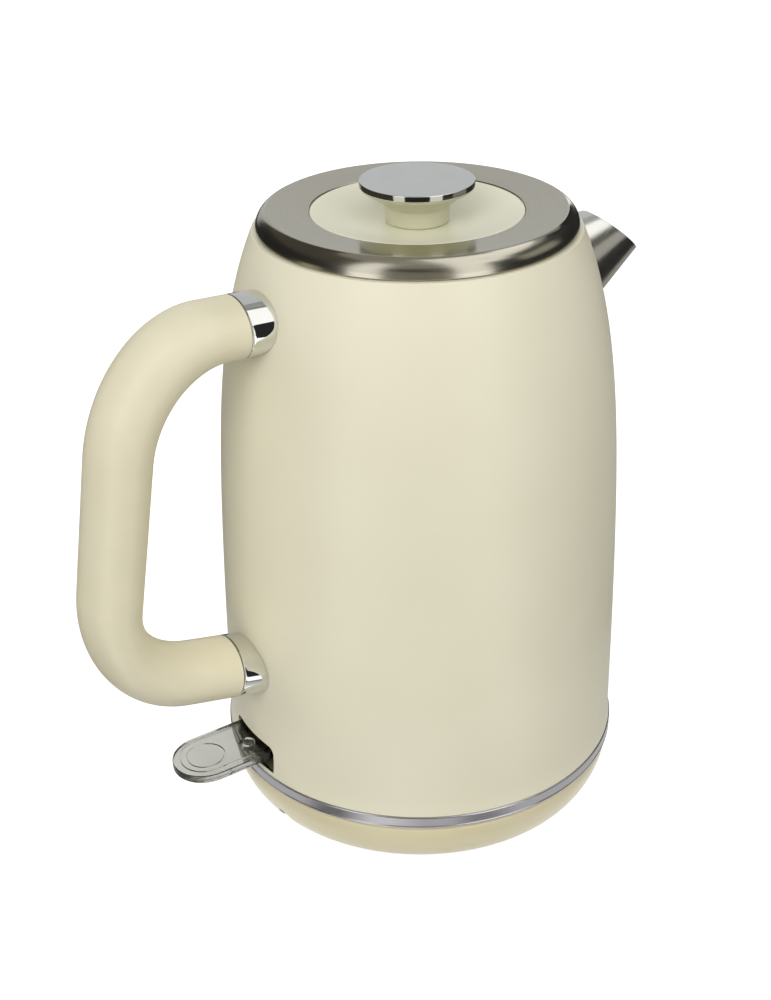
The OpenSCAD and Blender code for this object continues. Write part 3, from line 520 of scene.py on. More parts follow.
def make_trim_band(material):
    """Bare steel band below the painted body."""
    low = RING_LOW.z
    high = RING_HIGH.z
    corners = [
        (RING_IN, low),
        (RING_R - 0.9, low),
        (RING_R, low + 0.9),
        (RING_R, low + 1.3),
        (RING_R - 0.25, low + 1.5),
        (RING_R - 0.25, low + 1.7),
        (RING_R, low + 1.9),
        (RING_R, BODY_Z),
        (RING_COLLAR_R, BODY_Z),
        (RING_COLLAR_R, high),
        (RING_IN, high),
    ]
    outline = fillet(corners, {1: 0.3, 2: 0.9, 3: 0.1, 4: 0.08, 5: 0.08, 6: 0.1, 7: 0.45})
    band = lathe("trim_band", outline, 288)
    place(band, "kettle", material, "brushed_steel", "bottom_trim_ring")


# ---- spout
def spout_frame():
    """Apex of the spout's cone, the direction of its axis and the direction above it."""
    rise = radians(SPOUT_RISE)
    spread = tan(radians(SPOUT_HALF))
    axis = Vector((-cos(rise), 0, -sin(rise)))
    above = Vector((-sin(rise), 0, cos(rise)))
    apex = SPOUT_TIP + (above * spread - axis) * (SPOUT_TIP_R / spread)
    return apex, axis, above


SPOUT_APEX, SPOUT_AXIS, SPOUT_ABOVE = spout_frame()


def ruling(angle):
    """Direction of the cone's ruling at an angle from its top, and its outward normal."""
    half = radians(SPOUT_HALF)
    side = SPOUT_ABOVE * cos(angle) + Vector((0, sin(angle), 0))
    along = SPOUT_AXIS * cos(half) + side * sin(half)
    normal = side * cos(half) - SPOUT_AXIS * sin(half)
    return along, normal


def mouth_reach(angle):
    """Distance from the apex to the mouth's plane, along a ruling that may never meet it."""
    slope = radians(SPOUT_CUT)
    up = Vector((sin(slope), 0, cos(slope)))
    fall = ruling(angle)[0].dot(up)
    return (SPOUT_TIP - SPOUT_APEX).dot(up) / fall if fall < -1e-6 else inf


def wall_reach(angle):
    """Distance from the apex to the painted body, along a ruling."""
    along, _ = ruling(angle)
    far = 8
    while far < 120 and outside_body(SPOUT_APEX + along * far):
        far += 1
    return reach_body(SPOUT_APEX, along, far, far - 1)


def make_spout(material):
    """Conical spout of thick sheet, cut by its sloping mouth and ending on the body."""
    meeting = bisect(0, pi, lambda angle: mouth_reach(angle) < wall_reach(angle))
    start = meeting + SPOUT_START
    sections = []
    for angle in steps_between(start, TURN - start, 180):
        along, normal = ruling(angle)
        lip = mouth_reach(angle)
        root = max(wall_reach(angle), lip + 0.02)
        bend = min(STEEL_T / 2, (root - lip) / 2)
        outer = [(0, s) for s in steps_between(root, lip + bend, 14)]
        edge = [
            (STEEL_T / 2 * (1 - cos(b)), lip + bend * (1 - sin(b)))
            for b in steps_between(0, pi, 8)[1:-1]
        ]
        inner = [(STEEL_T, s) for s in steps_between(lip + bend, root, 14)]
        sections.append([SPOUT_APEX + along * s - normal * t for t, s in outer + edge + inner])
    spout = skin("spout_cone", sections)
    place(spout, "kettle", material, "brushed_steel", "spout")


def spout_cutter():
    """The cone's inside, which opens the body's wall behind the spout."""
    start = SPOUT_APEX + SPOUT_AXIS * (STEEL_T / sin(radians(SPOUT_HALF)))
    ways = [ruling(angle)[0] for angle in around(128)]
    return skin("spout_cutter", [[start + way * far for way in ways] for far in (12, 80)])


# ---- handle
def arm_way(arm):
    """Outward direction of an arm, in (out, up)."""
    rise = radians(ARM_RISE[arm])
    return Vector((cos(rise), sin(rise)))


def arm_frame(arm):
    """Where an arm's middle meets the wall, its outward direction and the direction above it."""
    out, up = arm_way(arm)
    wall = Vector((-body_r(ARM_H[arm]), 0, ARM_H[arm]))
    return wall, Vector((-out, 0, up)), Vector((up, 0, out))


def arm_edge(arm, side):
    """Edge of an arm at its collar, in (out, up): side is 1 outside and -1 inside the handle."""
    out, up = arm_way(arm)
    length = COLLAR_L[arm]
    joint = Vector((body_r(ARM_H[arm]) + length, ARM_H[arm] + length * tan(radians(ARM_RISE[arm]))))
    way = side if arm == "top" else -side
    return joint + Vector((-up, out)) * (way * ARM_T[arm] / 2)


def meet(p, d, q, e):
    """Where the line through p along d meets the line through q along e."""
    across = (q.x - p.x) * e.y - (q.y - p.y) * e.x
    return p + d * (across / (d.x * e.y - d.y * e.x))


def corner_curve(a, x, b, count):
    """Cubic curve from a to b that is pulled towards their corner x."""
    c = a.lerp(x, CORNER_PULL)
    e = b.lerp(x, CORNER_PULL)
    made = []
    for t in steps_between(0, 1, count):
        u = 1 - t
        made.append(a * u**3 + c * (3 * u * u * t) + e * (3 * u * t * t) + b * t**3)
    return made


def grip_outline(side):
    """Outline of the grip on one side, from the upper collar round to the lower one."""
    lean = radians(GRIP_LEAN - side * GRIP_CLOSE)
    down = Vector((sin(lean), -cos(lean)))
    edge = Vector((BODY_R + GRIP_OUT + side * GRIP_T_MID / 2, GRIP_MID_Z))
    halves = []
    for arm, inwards in (("top", down), ("low", -down)):
        start = arm_edge(arm, side)
        corner = meet(start, arm_way(arm), edge, down)
        before, after = CORNERS[(arm, side)]
        bend = corner - arm_way(arm) * before
        straight = [start.lerp(bend, t) for t in steps_between(0, 1, 4)[:-1]]
        halves.append(straight + corner_curve(bend, corner, corner + inwards * after, 52))
    upper, lower = halves
    middle = [upper[-1].lerp(lower[-1], t) for t in steps_between(0, 1, 20)[1:-1]]
    return upper + middle + lower[::-1]


def oval_ring(centre, half, width, inset=0.0, sides=96):
    """One oval ring of the grip; centre and half are in (out, up)."""
    long = half.length
    across = half * ((long - inset) / long)
    side = width / 2 - inset
    ring = []
    for a in around(sides):
        out = centre.x + across.x * cos(a)
        ring.append((-out, side * sin(a), centre.y + across.y * cos(a)))
    return ring


def make_grip(material):
    """Oval tube of the handle, its two ends rounded where they meet the collars."""
    outer = grip_outline(1)
    inner = grip_outline(-1)
    ends = []
    for arm, end in (("top", 0), ("low", -1)):
        centre = (outer[end] + inner[end]) / 2
        half = (outer[end] - inner[end]) / 2
        rounded = []
        for inset, lift in quarter_round(EDGE_ROUND, 5):
            shift = arm_way(arm) * (COLLAR_GAP + lift)
            rounded.append(oval_ring(centre + shift, half, GRIP_W, inset))
        ends.append(rounded)
    tube = [oval_ring((a + b) / 2, (a - b) / 2, GRIP_W) for a, b in zip(outer[1:-1], inner[1:-1])]
    grip = skin("handle_tube", ends[0] + tube + ends[1][::-1])
    place(grip, "kettle", material, "cream_plastic", "handle_grip")


def make_collar(name, arm, material):
    """Chrome collar: an oval sleeve that ends on the body's curved wall."""
    wall, out, above = arm_frame(arm)
    end = COLLAR_L[arm] - COLLAR_GAP

    def ring(inset, way_out, sides=144):
        """An oval moved in by inset; way_out gives each point's place from the wall's on its line."""
        points = []
        for a in around(sides):
            side = Vector((0, (GRIP_W / 2 - inset) * cos(a), 0))
            start = wall + side + above * ((ARM_T[arm] / 2 - inset) * sin(a))
            points.append(start + out * way_out(reach_body(start, out, -12, end)))
        return points

    foot = [ring(inset, lambda s: s + lift) for inset, lift in quarter_round(EDGE_ROUND, 4)]
    sleeve = []
    for t in (0.15, 0.35, 0.65, 0.9):
        sleeve.append(ring(0, lambda s: (s + EDGE_ROUND) * (1 - t) + (end - EDGE_ROUND) * t))
    rim = [ring(lift, lambda s: end - inset) for inset, lift in quarter_round(EDGE_ROUND, 5)]
    collar = skin(name, foot + sleeve + rim)
    place(collar, "kettle", material, "chrome", "upper_collar" if arm == "top" else "lower_collar")


# ---- switch lever
def lever_outline(inset, count=56):
    """Outline of the lever seen from above: square root, round end, moved in by inset."""
    half = LEVER_W / 2 - inset
    root = LEVER_ROOT + inset
    straight = steps_between(root, LEVER_END, 12)
    arc = [(LEVER_END + half * sin(a), -half * cos(a)) for a in steps_between(0, pi, count)]
    lower = [(x, -half) for x in straight[:-1]]
    upper = [(x, half) for x in reversed(straight[:-1])]
    return lower + arc + upper


def circle(x, r, count):
    """Points of a circle on the lever's middle line."""
    return [(x + r * cos(a), r * sin(a)) for a in around(count)]


def add_bands(bm, outlines):
    """Joins loops, each an outline at a height, with bands; returns the first and last loop."""
    loops = [[bm.verts.new((x, y, z)) for x, y in outline] for outline, z in outlines]
    for a, b in zip(loops, loops[1:]):
        for k in range(len(a)):
            m = (k + 1) % len(a)
            bm.faces.new((a[k], a[m], b[m], b[k]))
    return loops[0], loops[-1]


def fill_between(bm, *loops):
    """Fills the flat space between loops of points."""
    edges = []
    for loop in loops:
        for k, vert in enumerate(loop):
            edges.append(bm.edges.get((vert, loop[(k + 1) % len(loop)])))
    bmesh.ops.triangle_fill(bm, use_beauty=True, edges=edges, normal=(0, 0, 1))


def groove(far, top):
    """Section of a groove in the lever's face, from its near edge out to its edge at far."""
    near = far - GROOVE_W
    floor = top - GROOVE_DEPTH
    return [
        (near - LIP, top),
        (near, top - LIP),
        (near + GROOVE_SLOPE, floor),
        (far - GROOVE_SLOPE, floor),
        (far, top - LIP),
        (far + LIP, top),
    ]


def lever_sections(bottom, top):
    """Sections of the lever's rim, of the ring on its end and of the boss below it."""
    corner = quarter_round(0.5, 5)
    rim = [(inset, bottom + lift) for inset, lift in corner]
    rim += [(lift, top - inset) for inset, lift in corner]
    tip = bottom - BOSS_H
    boss = [
        (BOSS_R + 0.4, bottom),
        (BOSS_R + 0.1, bottom - 0.1),
        (BOSS_R, bottom - 0.4),
        (BOSS_R, tip + 0.4),
        (BOSS_R - 0.12, tip + 0.12),
        (BOSS_R - 0.4, tip),
        (BOSS_R - 0.9, tip),
        (BOSS_R - 1.1, tip + 0.15),
        (BOSS_R - 1.2, tip + 0.5),
        (BOSS_R - 1.2, bottom - 0.1),
    ]
    return rim + groove(LEVER_RIM, top), groove(LEVER_RING_R, top)[::-1], boss


def make_lever(material):
    """Clear lever with a groove along its edge, a ring on its end and a boss below."""
    bm = bmesh.new()
    rim, ring, boss = lever_sections(LEVER_BOTTOM, LEVER_BOTTOM + LEVER_T)
    rim_low, rim_high = add_bands(bm, [(lever_outline(inset), z) for inset, z in rim])
    ring_edge, disc_edge = add_bands(bm, [(circle(LEVER_END, r, 72), z) for r, z in ring])
    fill_between(bm, rim_high, ring_edge)
    bm.faces.new(disc_edge)
    boss_edge, boss_floor = add_bands(bm, [(circle(BOSS_X, r, 48), z) for r, z in boss])
    fill_between(bm, rim_low, boss_edge)
    bm.faces.new(boss_floor)
    bmesh.ops.recalc_face_normals(bm, faces=bm.faces)
    lean = radians(LEVER_LEAN)
    out = Vector((-cos(lean), 0, -sin(lean)))
    up = Vector((-sin(lean), 0, cos(lean)))
    pin = Vector((-PIN_X, 0, PIN_Z))
    for vert in bm.verts:
        x, y, z = vert.co
        vert.co = (pin + out * x + Vector((0, -y, 0)) + up * z) * MM
    mesh = bpy.data.meshes.new("lever_plate")
    bm.to_mesh(mesh)
    bm.free()
    lever = add_object("lever_plate", mesh)
    place(lever, "lever", material, "clear_plastic", "switch_lever", angle=28)


# ---- pieces of the lid
def shoulder_point(a, inset=0.0):
    """A point on the lid's rounded shoulder; a runs from 0 at the lip to its end at the crease."""
    end = radians(SHOULDER_END)
    wide = (LID_R - CREASE_R) / (1 - cos(end))
    rise = CREASE_Z - LID_Z - LIP_H
    r = LID_R - wide * (1 - cos(a)) - inset * cos(a / 2)
    return r, LID_Z + LIP_H + rise * sin(a) / sin(end) - inset * sin(a)


def make_lid_cover(material):
    """Brushed steel ring of the lid: lip, rounded shoulder, soft crease and flat top."""
    end = radians(SHOULDER_END)
    t = STEEL_T
    lip = fillet([(LID_R - t, LID_Z), (LID_R, LID_Z), (LID_R, LID_Z + LIP_H)], {1: 0.3})
    outer = [shoulder_point(a) for a in steps_between(0, end, 26)][1:-1]
    flat = [(r, ring_top(r)) for r in steps_between(CREASE_R - 2, INSERT_R + 2, 12)]
    crease = fillet([shoulder_point(end * 0.965), shoulder_point(end), flat[0]], {1: 1.1}, 10)[1:-1]
    top = ring_top(INSERT_R)
    corners = [
        (INSERT_R + 1.5, ring_top(INSERT_R + 1.5)),
        (INSERT_R, top),
        (INSERT_R, top - COLLAR_DROP),
        (INSERT_R + t, top - COLLAR_DROP),
        (INSERT_R + t, top - t),
        (CREASE_R - t, CREASE_Z - t),
    ]
    edge = fillet(corners, {1: 0.6, 4: 0.4})[1:]
    under = [shoulder_point(a, t) for a in steps_between(end * 0.86, 0, 12)]
    cover = lathe("lid_cover", lip[:-1] + outer[1:] + crease + flat + edge + under, 256)
    place(cover, "lid", material, "brushed_steel", "lid_ring")


def dish(r, drop=0.0):
    """Height of the insert's dished face at a radius."""
    depth = max(0.0, r - DISH_FLAT_R) / (INSERT_R - DISH_FLAT_R)
    return DISH_Z - drop + INSERT_DISH * depth**DISH_POWER


def make_insert(material):
    """Dished cream insert of the lid."""
    r_out = INSERT_R - 0.12
    rise = [(r, dish(r)) for r in steps_between(DISH_FLAT_R, r_out - 1.2, 30)]
    corners = [
        (r_out - 1.2, dish(r_out - 1.2)),
        (r_out, INSERT_EDGE_Z - 0.1),
        (r_out, INSERT_EDGE_Z - INSERT_T - 1),
        (r_out - 1, INSERT_EDGE_Z - INSERT_T - 1),
    ]
    edge = fillet(corners, {1: 0.7})[1:]
    under = [(r, dish(r, INSERT_T)) for r in steps_between(r_out - 2, DISH_FLAT_R, 16)]
    outline = [(0, DISH_Z)] + rise + edge + under + [(0, DISH_Z - INSERT_T)]
    insert = lathe("lid_dish", outline)
    place(insert, "lid", material, "cream_gloss", "lid_insert")


def make_knob_post(material):
    """Cream post of the knob, its foot rounded and its trumpet flared out under the disc."""
    neck_r = STEM_R + 0.2
    rise = STEM_TOP - FLARE_RIM - NECK_TOP
    foot = fillet([(0, DISH_Z), (STEM_R, DISH_Z), (neck_r, NECK_TOP)], {1: 0.8})
    bell = []
    for t in steps_between(0, 1, 24):
        bell.append((neck_r + (FLARE_R - neck_r) * t**FLARE_POWER, NECK_TOP + rise * t))
    rim = fillet([bell[-2], bell[-1], (FLARE_R, STEM_TOP)], {1: 0.3})
    post = lathe("knob_post", foot[:-1] + bell[:-2] + rim + [(0, STEM_TOP)])
    place(post, "lid", material, "cream_gloss", "knob_stem", angle=50)


def make_knob_disc(material):
    """Chrome disc of the knob with a fine rounded edge."""
    high = KNOB_HIGH.z
    edge = fillet([(0, STEM_TOP), (KNOB_R, STEM_TOP), (KNOB_R, high), (0, high)], {1: 0.3, 2: 0.3})
    flat = [(KNOB_R * t, high) for t in (0.9, 0.6, 0.3)]
    disc = lathe("knob_disc", edge[:-1] + flat + [(0, high)])
    place(disc, "lid", material, "chrome", "knob_cap")


# ---- materials
def srgb(red, green, blue):
    """A colour written as 0 to 255 values, as the linear colour that shaders take."""
    made = []
    for value in (red, green, blue):
        c = value / 255
        made.append(c / 12.92 if c <= 0.04045 else ((c + 0.055) / 1.055) ** 2.4)
    return (*made, 1.0)


def darker(colour, share):
    """A colour taken down to a share of itself."""
    return (*[c * share for c in colour[:3]], 1.0)


def join(tree, source, target):
    """Links an output to an input, or sets the input's own value."""
    if isinstance(source, bpy.types.NodeSocket):
        tree.links.new(source, target)
    else:
        target.default_value = source


def add_node(tree, kind, inputs, **settings):
    """A new shader node with its settings, and with its inputs linked or set."""
    made = tree.nodes.new("ShaderNode" + kind)
    for key, value in settings.items():
        setattr(made, key, value)
    for key, source in inputs.items():
        join(tree, source, made.inputs[key])
    return made


def map_range(tree, source, low, high, low_in=0, high_in=1):
    """Maps a range of values to another, whose ends may themselves come from nodes."""
    inputs = {"Value": source, "From Min": low_in, "From Max": high_in, "To Min": low, "To Max": high}
    return add_node(tree, "MapRange", inputs).outputs["Result"]


class Finish:
    """A procedural material: one Principled shader and the textures that feed it."""

    def __init__(self, name, roughness, metallic=0.0, **sockets):
        self.material = bpy.data.materials.new(name)
        self.material.use_nodes = True
        self.tree = self.material.node_tree
        self.shader = self.tree.nodes["Principled BSDF"]
        self.feed(Roughness=roughness, Metallic=metallic, **sockets)
        self.place = self.node("TexCoord", {}).outputs["Object"]

    def feed(self, **sources):
        """Sets or links the shader's inputs; an underscore stands for a space in a name."""
        for key, source in sources.items():
            join(self.tree, source, self.shader.inputs[key.replace("_", " ")])

    def node(self, kind, inputs, **settings):
        """A new node of this material."""
        return add_node(self.tree, kind, inputs, **settings)

    def math(self, operation, a, b):
        """One arithmetic step."""
        return self.node("Math", {0: a, 1: b}, operation=operation).outputs[0]

    def vector(self, operation, inputs, output=0):
        """One step of arithmetic with vectors."""
        return self.node("VectorMath", inputs, operation=operation).outputs[output]

    def height(self):
        """Height above the worktop."""
        return self.node("SeparateXYZ", {0: self.place}).outputs["Z"]

    def stretched(self, x, y, z):
        """The piece's own coordinates, stretched along its axes."""
        return self.node("Mapping", {"Scale": (x, y, z), "Vector": self.place}).outputs[0]

    def noise(self, size, detail, roughness=0.5, place=None):
        """Noise whose features are about size millimetres wide."""
        inputs = {
            "Vector": self.place if place is None else place,
            "Scale": 1 / (size * MM),
            "Detail": detail,
            "Roughness": roughness,
        }
        return self.node("TexNoise", inputs).outputs["Fac"]

    def turned(self, length, width):
        """Noise drawn out round the Z axis, as turning and brushing leave it."""
        flat = self.vector("MULTIPLY", {0: self.place, 1: (1, 1, 0)})
        radius = self.vector("LENGTH", {0: flat}, "Value")
        unit = self.vector("NORMALIZE", {0: flat})
        around = self.vector("SCALE", {0: unit, "Scale": BRUSHED_R / length})
        across = self.math("ADD", radius, self.height())
        lines = self.math("MULTIPLY", across, 1 / (width * MM))
        lift = self.node("CombineXYZ", {"Z": lines}).outputs[0]
        total = self.vector("ADD", {0: around, 1: lift})
        return self.node("TexNoise", {"Vector": total, "Scale": 1.0, "Detail": 3.0}).outputs["Fac"]

    def spread(self, source, low, high, low_in=0.3, high_in=0.7):
        """Maps a texture's values to a range."""
        return map_range(self.tree, source, low, high, low_in, high_in)

    def colour(self, source, first, second):
        """Base colour that runs between two colours with a texture."""
        inputs = {"Factor": self.spread(source, 0, 1), 6: first, 7: second}
        self.feed(Base_Color=self.node("Mix", inputs, data_type="RGBA").outputs[2])

    def rough(self, source, low, high):
        """Roughness that runs between two values with a texture."""
        self.feed(Roughness=self.spread(source, low, high))

    def bump(self, *layers):
        """Relief from textures, each given as (texture, depth in millimetres)."""
        inputs = {"Strength": 1.0}
        for texture, depth in layers:
            inputs.update({"Distance": depth * MM, "Height": texture})
            inputs["Normal"] = self.node("Bump", inputs).outputs["Normal"]
        self.feed(Normal=inputs["Normal"])

    def marked(self, marks, first, second, low, high, depth):
        """Colour, roughness and relief that follow the same marks; returns the material."""
        self.colour(marks, first, second)
        self.rough(marks, low, high)
        self.bump((marks, depth))
        return self.material

    def grain(self, shade, gloss, *relief):
        """Colour, roughness and relief that each follow a noise; returns the material.

        shade is (size, detail, first colour, second colour), gloss is (size, detail, low, high)
        and each layer of relief is (size, detail, depth). Sizes and depths are in millimetres.
        """
        size, detail, first, second = shade
        self.colour(self.noise(size, detail), srgb(*first), srgb(*second))
        size, detail, low, high = gloss
        self.rough(self.noise(size, detail), low, high)
        self.bump(*[(self.noise(size, detail), depth) for size, detail, depth in relief])
        return self.material


def cream_paint():
    """Satin powder paint on steel: fine orange peel and faint unevenness."""
    shade = (38, 3, (223, 218, 193), (226, 221, 197))
    made = Finish("cream_paint", 0.42)
    return made.grain(shade, (1.4, 3, 0.36, 0.46), (1.1, 2, 0.006), (0.3, 1, 0.002))


def cream_plastic():
    """Moulded plastic of the grip: a fine even matt texture with polished patches."""
    shade = (24, 3, (217, 210, 181), (222, 215, 188))
    made = Finish("cream_plastic", 0.4)
    return made.grain(shade, (7, 4, 0.34, 0.46), (0.35, 2, 0.004), (4, 2, 0.01))


def gloss_plastic(name, first, second):
    """Glossier moulded plastic of the base, the lid's insert and the knob's post; the post's copy is
    darker, as painted shade under the knob's disc.
    """
    made = Finish(name, 0.31)
    return made.grain((40, 1, first, second), (12, 2, 0.29, 0.33), (0.5, 2, 0.0015))


def turned_finish(name, roughness, streak, first, second, depth):
    """Stainless steel brushed round the jug's axis, and the texture of its lines."""
    made = Finish(name, roughness, 1.0, Anisotropic=streak, Anisotropic_Rotation=0.25)
    made.feed(Tangent=made.node("Tangent", {}, direction_type="RADIAL", axis="Z").outputs[0])
    fine = made.turned(16, 0.09)
    broad = made.turned(40, 0.8)
    lines = made.math("ADD", made.math("MULTIPLY", fine, 0.7), made.math("MULTIPLY", broad, 0.3))
    made.colour(lines, first, second)
    made.bump((fine, depth), (broad, depth))
    return made, lines


def trim_steel():
    """Turned steel of the ring below the painted body."""
    tint = srgb(208, 206, 209)
    made, lines = turned_finish("trim_steel", 0.3, 0.6, darker(tint, 0.92), tint, 0.0015)
    made.rough(lines, 0.16, 0.24)
    return made.material


def lid_steel():
    """Turned steel of the lid: the flat top is polished brighter than the shoulder."""
    first = srgb(192, 187, 171)
    second = srgb(205, 200, 184)
    made, lines = turned_finish("lid_steel", 0.2, 0.45, first, second, 0.0012)
    middle = (CREASE_Z - POLISH_DROP) * MM
    fade = POLISH_FADE * MM
    polish = made.spread(made.height(), 0.24, 0.12, middle - fade, middle + fade)
    made.feed(Roughness=made.math("ADD", polish, made.spread(lines, -0.02, 0.03)))
    return made.material


def drawn_steel(name, tint):
    """Stainless steel with short marks in no one direction, as on pressed inner parts."""
    made = Finish(name, 0.34, 1.0)
    marks = made.noise(0.5, 4, 0.6, made.stretched(1, 1, 0.12))
    return made.marked(marks, darker(tint, 0.84), tint, 0.28, 0.42, 0.004)


def spout_steel():
    """Stainless steel of the spout, its brushing almost lost in soft bands."""
    made = Finish("spout_steel", 0.24, 1.0)
    marks = made.noise(0.3, 4, 0.6, made.stretched(0.2, 1, 0.7))
    return made.marked(marks, srgb(230, 228, 221), srgb(237, 235, 229), 0.19, 0.26, 0.001)


def chrome():
    """Polished chrome plate with the faintest haze and ripple."""
    shade = (9, 3, (224, 224, 221), (229, 229, 226))
    return Finish("chrome", 0.03, 1.0).grain(shade, (2.2, 5, 0.02, 0.045), (7, 1, 0.001))


def clear_plastic():
    """Clear acrylic of the lever, with a light smoky tint and fine scuffs."""
    shade = (12, 2, (164, 164, 158), (172, 172, 166))
    made = Finish("clear_plastic", 0.05, Transmission_Weight=1.0, IOR=1.49)
    return made.grain(shade, (1.6, 5, 0.02, 0.09), (3.5, 2, 0.006))


def black_plastic():
    """Moulded black plastic with a fine spark texture."""
    shade = (6, 3, (34, 34, 33), (44, 44, 42))
    return Finish("black_plastic", 0.5).grain(shade, (1.2, 3, 0.42, 0.6), (0.4, 2, 0.012))


def painted_shade_plastic():
    """Plastic of the switch's lining inside the slot, its dark olive-brown colour a painted shade of
    the slot's inside.
    """
    # The dark olive-brown colours are painted shade, not the lining's own colour.
    shade = (6, 3, (104, 97, 70), (118, 111, 82))
    return Finish("painted_shade_plastic", 0.5).grain(shade, (1.2, 3, 0.42, 0.58), (0.4, 2, 0.01))


def grey_plastic():
    """Dark grey plastic of the turning shutter ring."""
    shade = (5, 3, (74, 74, 73), (88, 88, 86))
    return Finish("grey_plastic", 0.45).grain(shade, (1.0, 3, 0.38, 0.52), (0.5, 2, 0.01))


def filter_plastic():
    """Pale translucent-looking plastic of the filter's frame."""
    shade = (8, 3, (196, 197, 192), (212, 212, 207))
    return Finish("filter_plastic", 0.35).grain(shade, (1.5, 3, 0.28, 0.42), (0.7, 2, 0.006))


def woven_steel():
    """Fine steel mesh of the filter: bright wires crossing at a small pitch."""
    made = Finish("woven_steel", 0.36, 1.0)
    wires = made.noise(0.18, 2, 0.5, made.stretched(1, 1, 0.3))
    return made.marked(wires, srgb(150, 149, 144), srgb(205, 204, 199), 0.28, 0.46, 0.02)


def white_plastic():
    """Off-white plastic of the small push rod."""
    shade = (3, 2, (214, 212, 204), (226, 224, 217))
    return Finish("white_plastic", 0.4).grain(shade, (0.8, 3, 0.34, 0.46), (0.4, 2, 0.004))


def rubber():
    """Dark matt rubber with dusty, slightly worn patches."""
    shade = (4, 4, (40, 39, 37), (58, 56, 53))
    return Finish("rubber", 0.8).grain(shade, (1.5, 4, 0.7, 0.92), (0.5, 3, 0.02))


def silicone():
    """Milky silicone of the seals."""
    shade = (5, 3, (206, 204, 196), (220, 218, 211))
    made = Finish("silicone", 0.55, Subsurface_Weight=0.15, Subsurface_Radius=(0.002, 0.002, 0.0018))
    return made.grain(shade, (1.2, 3, 0.45, 0.65), (0.6, 2, 0.008))


def brass():
    """Contact brass, a little tarnished."""
    shade = (2.5, 4, (186, 150, 84), (214, 182, 116))
    return Finish("brass", 0.3, 1.0).grain(shade, (0.8, 4, 0.22, 0.42), (0.4, 2, 0.003))


def cast_aluminium():
    """Cast aluminium of the heat spreader, grainy and dull."""
    shade = (1.6, 4, (168, 168, 168), (192, 192, 191))
    return Finish("cast_aluminium", 0.5, 1.0).grain(shade, (0.9, 4, 0.42, 0.62), (0.6, 4, 0.025))


def heater_sheath():
    """Oxidised grey sheath of the heating element."""
    shade = (3, 4, (96, 92, 86), (126, 121, 114))
    return Finish("heater_sheath", 0.5, 0.9).grain(shade, (1.0, 4, 0.42, 0.6), (0.5, 3, 0.012))


def amber_lamp():
    """Amber lens of the lamp."""
    shade = (1.5, 2, (226, 118, 62), (240, 142, 84))
    made = Finish("amber_lamp", 0.2, Transmission_Weight=0.5)
    return made.grain(shade, (0.8, 2, 0.14, 0.26), (0.8, 2, 0.006))


# ---- stage
def make_camera():
    """The camera at the photograph's place and angle."""
    data = bpy.data.cameras.new("camera")
    data.lens = CAMERA_LENS
    data.sensor_width = 36
    data.clip_start = 0.01
    data.clip_end = 50
    camera = add_object("camera", data)
    back = -CAMERA_WAY.normalized()
    level = CAMERA_RIGHT.normalized()
    turn = Matrix((level, back.cross(level), back)).transposed()
    turn @= Matrix.Rotation(radians(CAMERA_ROLL), 3, "Z")
    camera.matrix_world = Matrix.Translation(CAMERA_AT) @ turn.to_4x4()
    bpy.context.scene.camera = camera


def stage_material(name, colour):
    """Even glow of a studio panel."""
    made = bpy.data.materials.new(name)
    made.use_nodes = True
    tree = made.node_tree
    tree.nodes.clear()
    glow = add_node(tree, "Emission", {"Color": colour, "Strength": 1.0})
    add_node(tree, "OutputMaterial", {"Surface": glow.outputs[0]})
    return made


def ring_glow(name, ground, stops):
    """Glow that changes round the Z axis; each stop is an angle from the camera and a grey."""
    made = stage_material(name, srgb(*[ground] * 3))
    tree = made.node_tree
    place_in = add_node(tree, "TexCoord", {}).outputs["Object"]
    turn = {"Vector": place_in, "Angle": -radians(CAMERA_AZIMUTH)}
    turned = add_node(tree, "VectorRotate", turn, rotation_type="Z_AXIS").outputs[0]
    sweep = add_node(tree, "TexGradient", {"Vector": turned}, gradient_type="RADIAL")
    ramp = add_node(tree, "ValToRGB", {"Fac": sweep.outputs["Fac"]})
    elements = ramp.color_ramp.elements
    for element in elements:
        element.color = srgb(*[ground] * 3)
    for side, grey in stops:
        elements.new(0.5 + side / 360).color = srgb(*[grey] * 3)
    join(tree, ramp.outputs["Color"], tree.nodes["Emission"].inputs["Color"])
    return made


def by_ray(tree, camera, mirror, diffuse):
    """One strength for camera rays, one for mirror and glass rays, one for rays that light."""
    path = add_node(tree, "LightPath", {}).outputs
    either = {0: path["Is Glossy Ray"], 1: path["Is Transmission Ray"]}
    seen = add_node(tree, "Math", either, operation="MAXIMUM").outputs[0]
    return map_range(tree, path["Is Camera Ray"], map_range(tree, seen, diffuse, mirror), camera)


def make_floor():
    """Plain pale floor that shows as white and keeps the object's shadow."""
    mesh = bpy.data.meshes.new("floor")
    corners = [(-1, -1), (1, -1), (1, 1), (-1, 1)]
    mesh.from_pydata([(x * FLOOR_HALF, y * FLOOR_HALF, 0) for x, y in corners], [], [(0, 1, 2, 3)])
    made = Finish("floor", 0.9, Specular_IOR_Level=0.0)
    made.feed(Base_Color=(0.56, 0.56, 0.55, 1), Emission_Color=(1, 1, 1, 1))
    made.feed(Emission_Strength=by_ray(made.tree, 0.8, 0.9, 0.0))
    mesh.materials.append(made.material)
    add_object("floor", mesh)


def make_world():
    """Soft even light from all round; the background itself is white."""
    world = bpy.data.worlds.new("studio")
    bpy.context.scene.world = world
    world.use_nodes = True
    tree = world.node_tree
    background = tree.nodes["Background"]
    join(tree, (1, 1, 1, 1), background.inputs["Color"])
    join(tree, by_ray(tree, 1.0, 1.25, WORLD_LIGHT), background.inputs["Strength"])


def studio_way(side, rise):
    """Direction at an angle from the camera's azimuth and at a rise, both in degrees."""
    azimuth = radians(CAMERA_AZIMUTH + side)
    up = radians(rise)
    return cos(azimuth) * cos(up), sin(azimuth) * cos(up), sin(up)


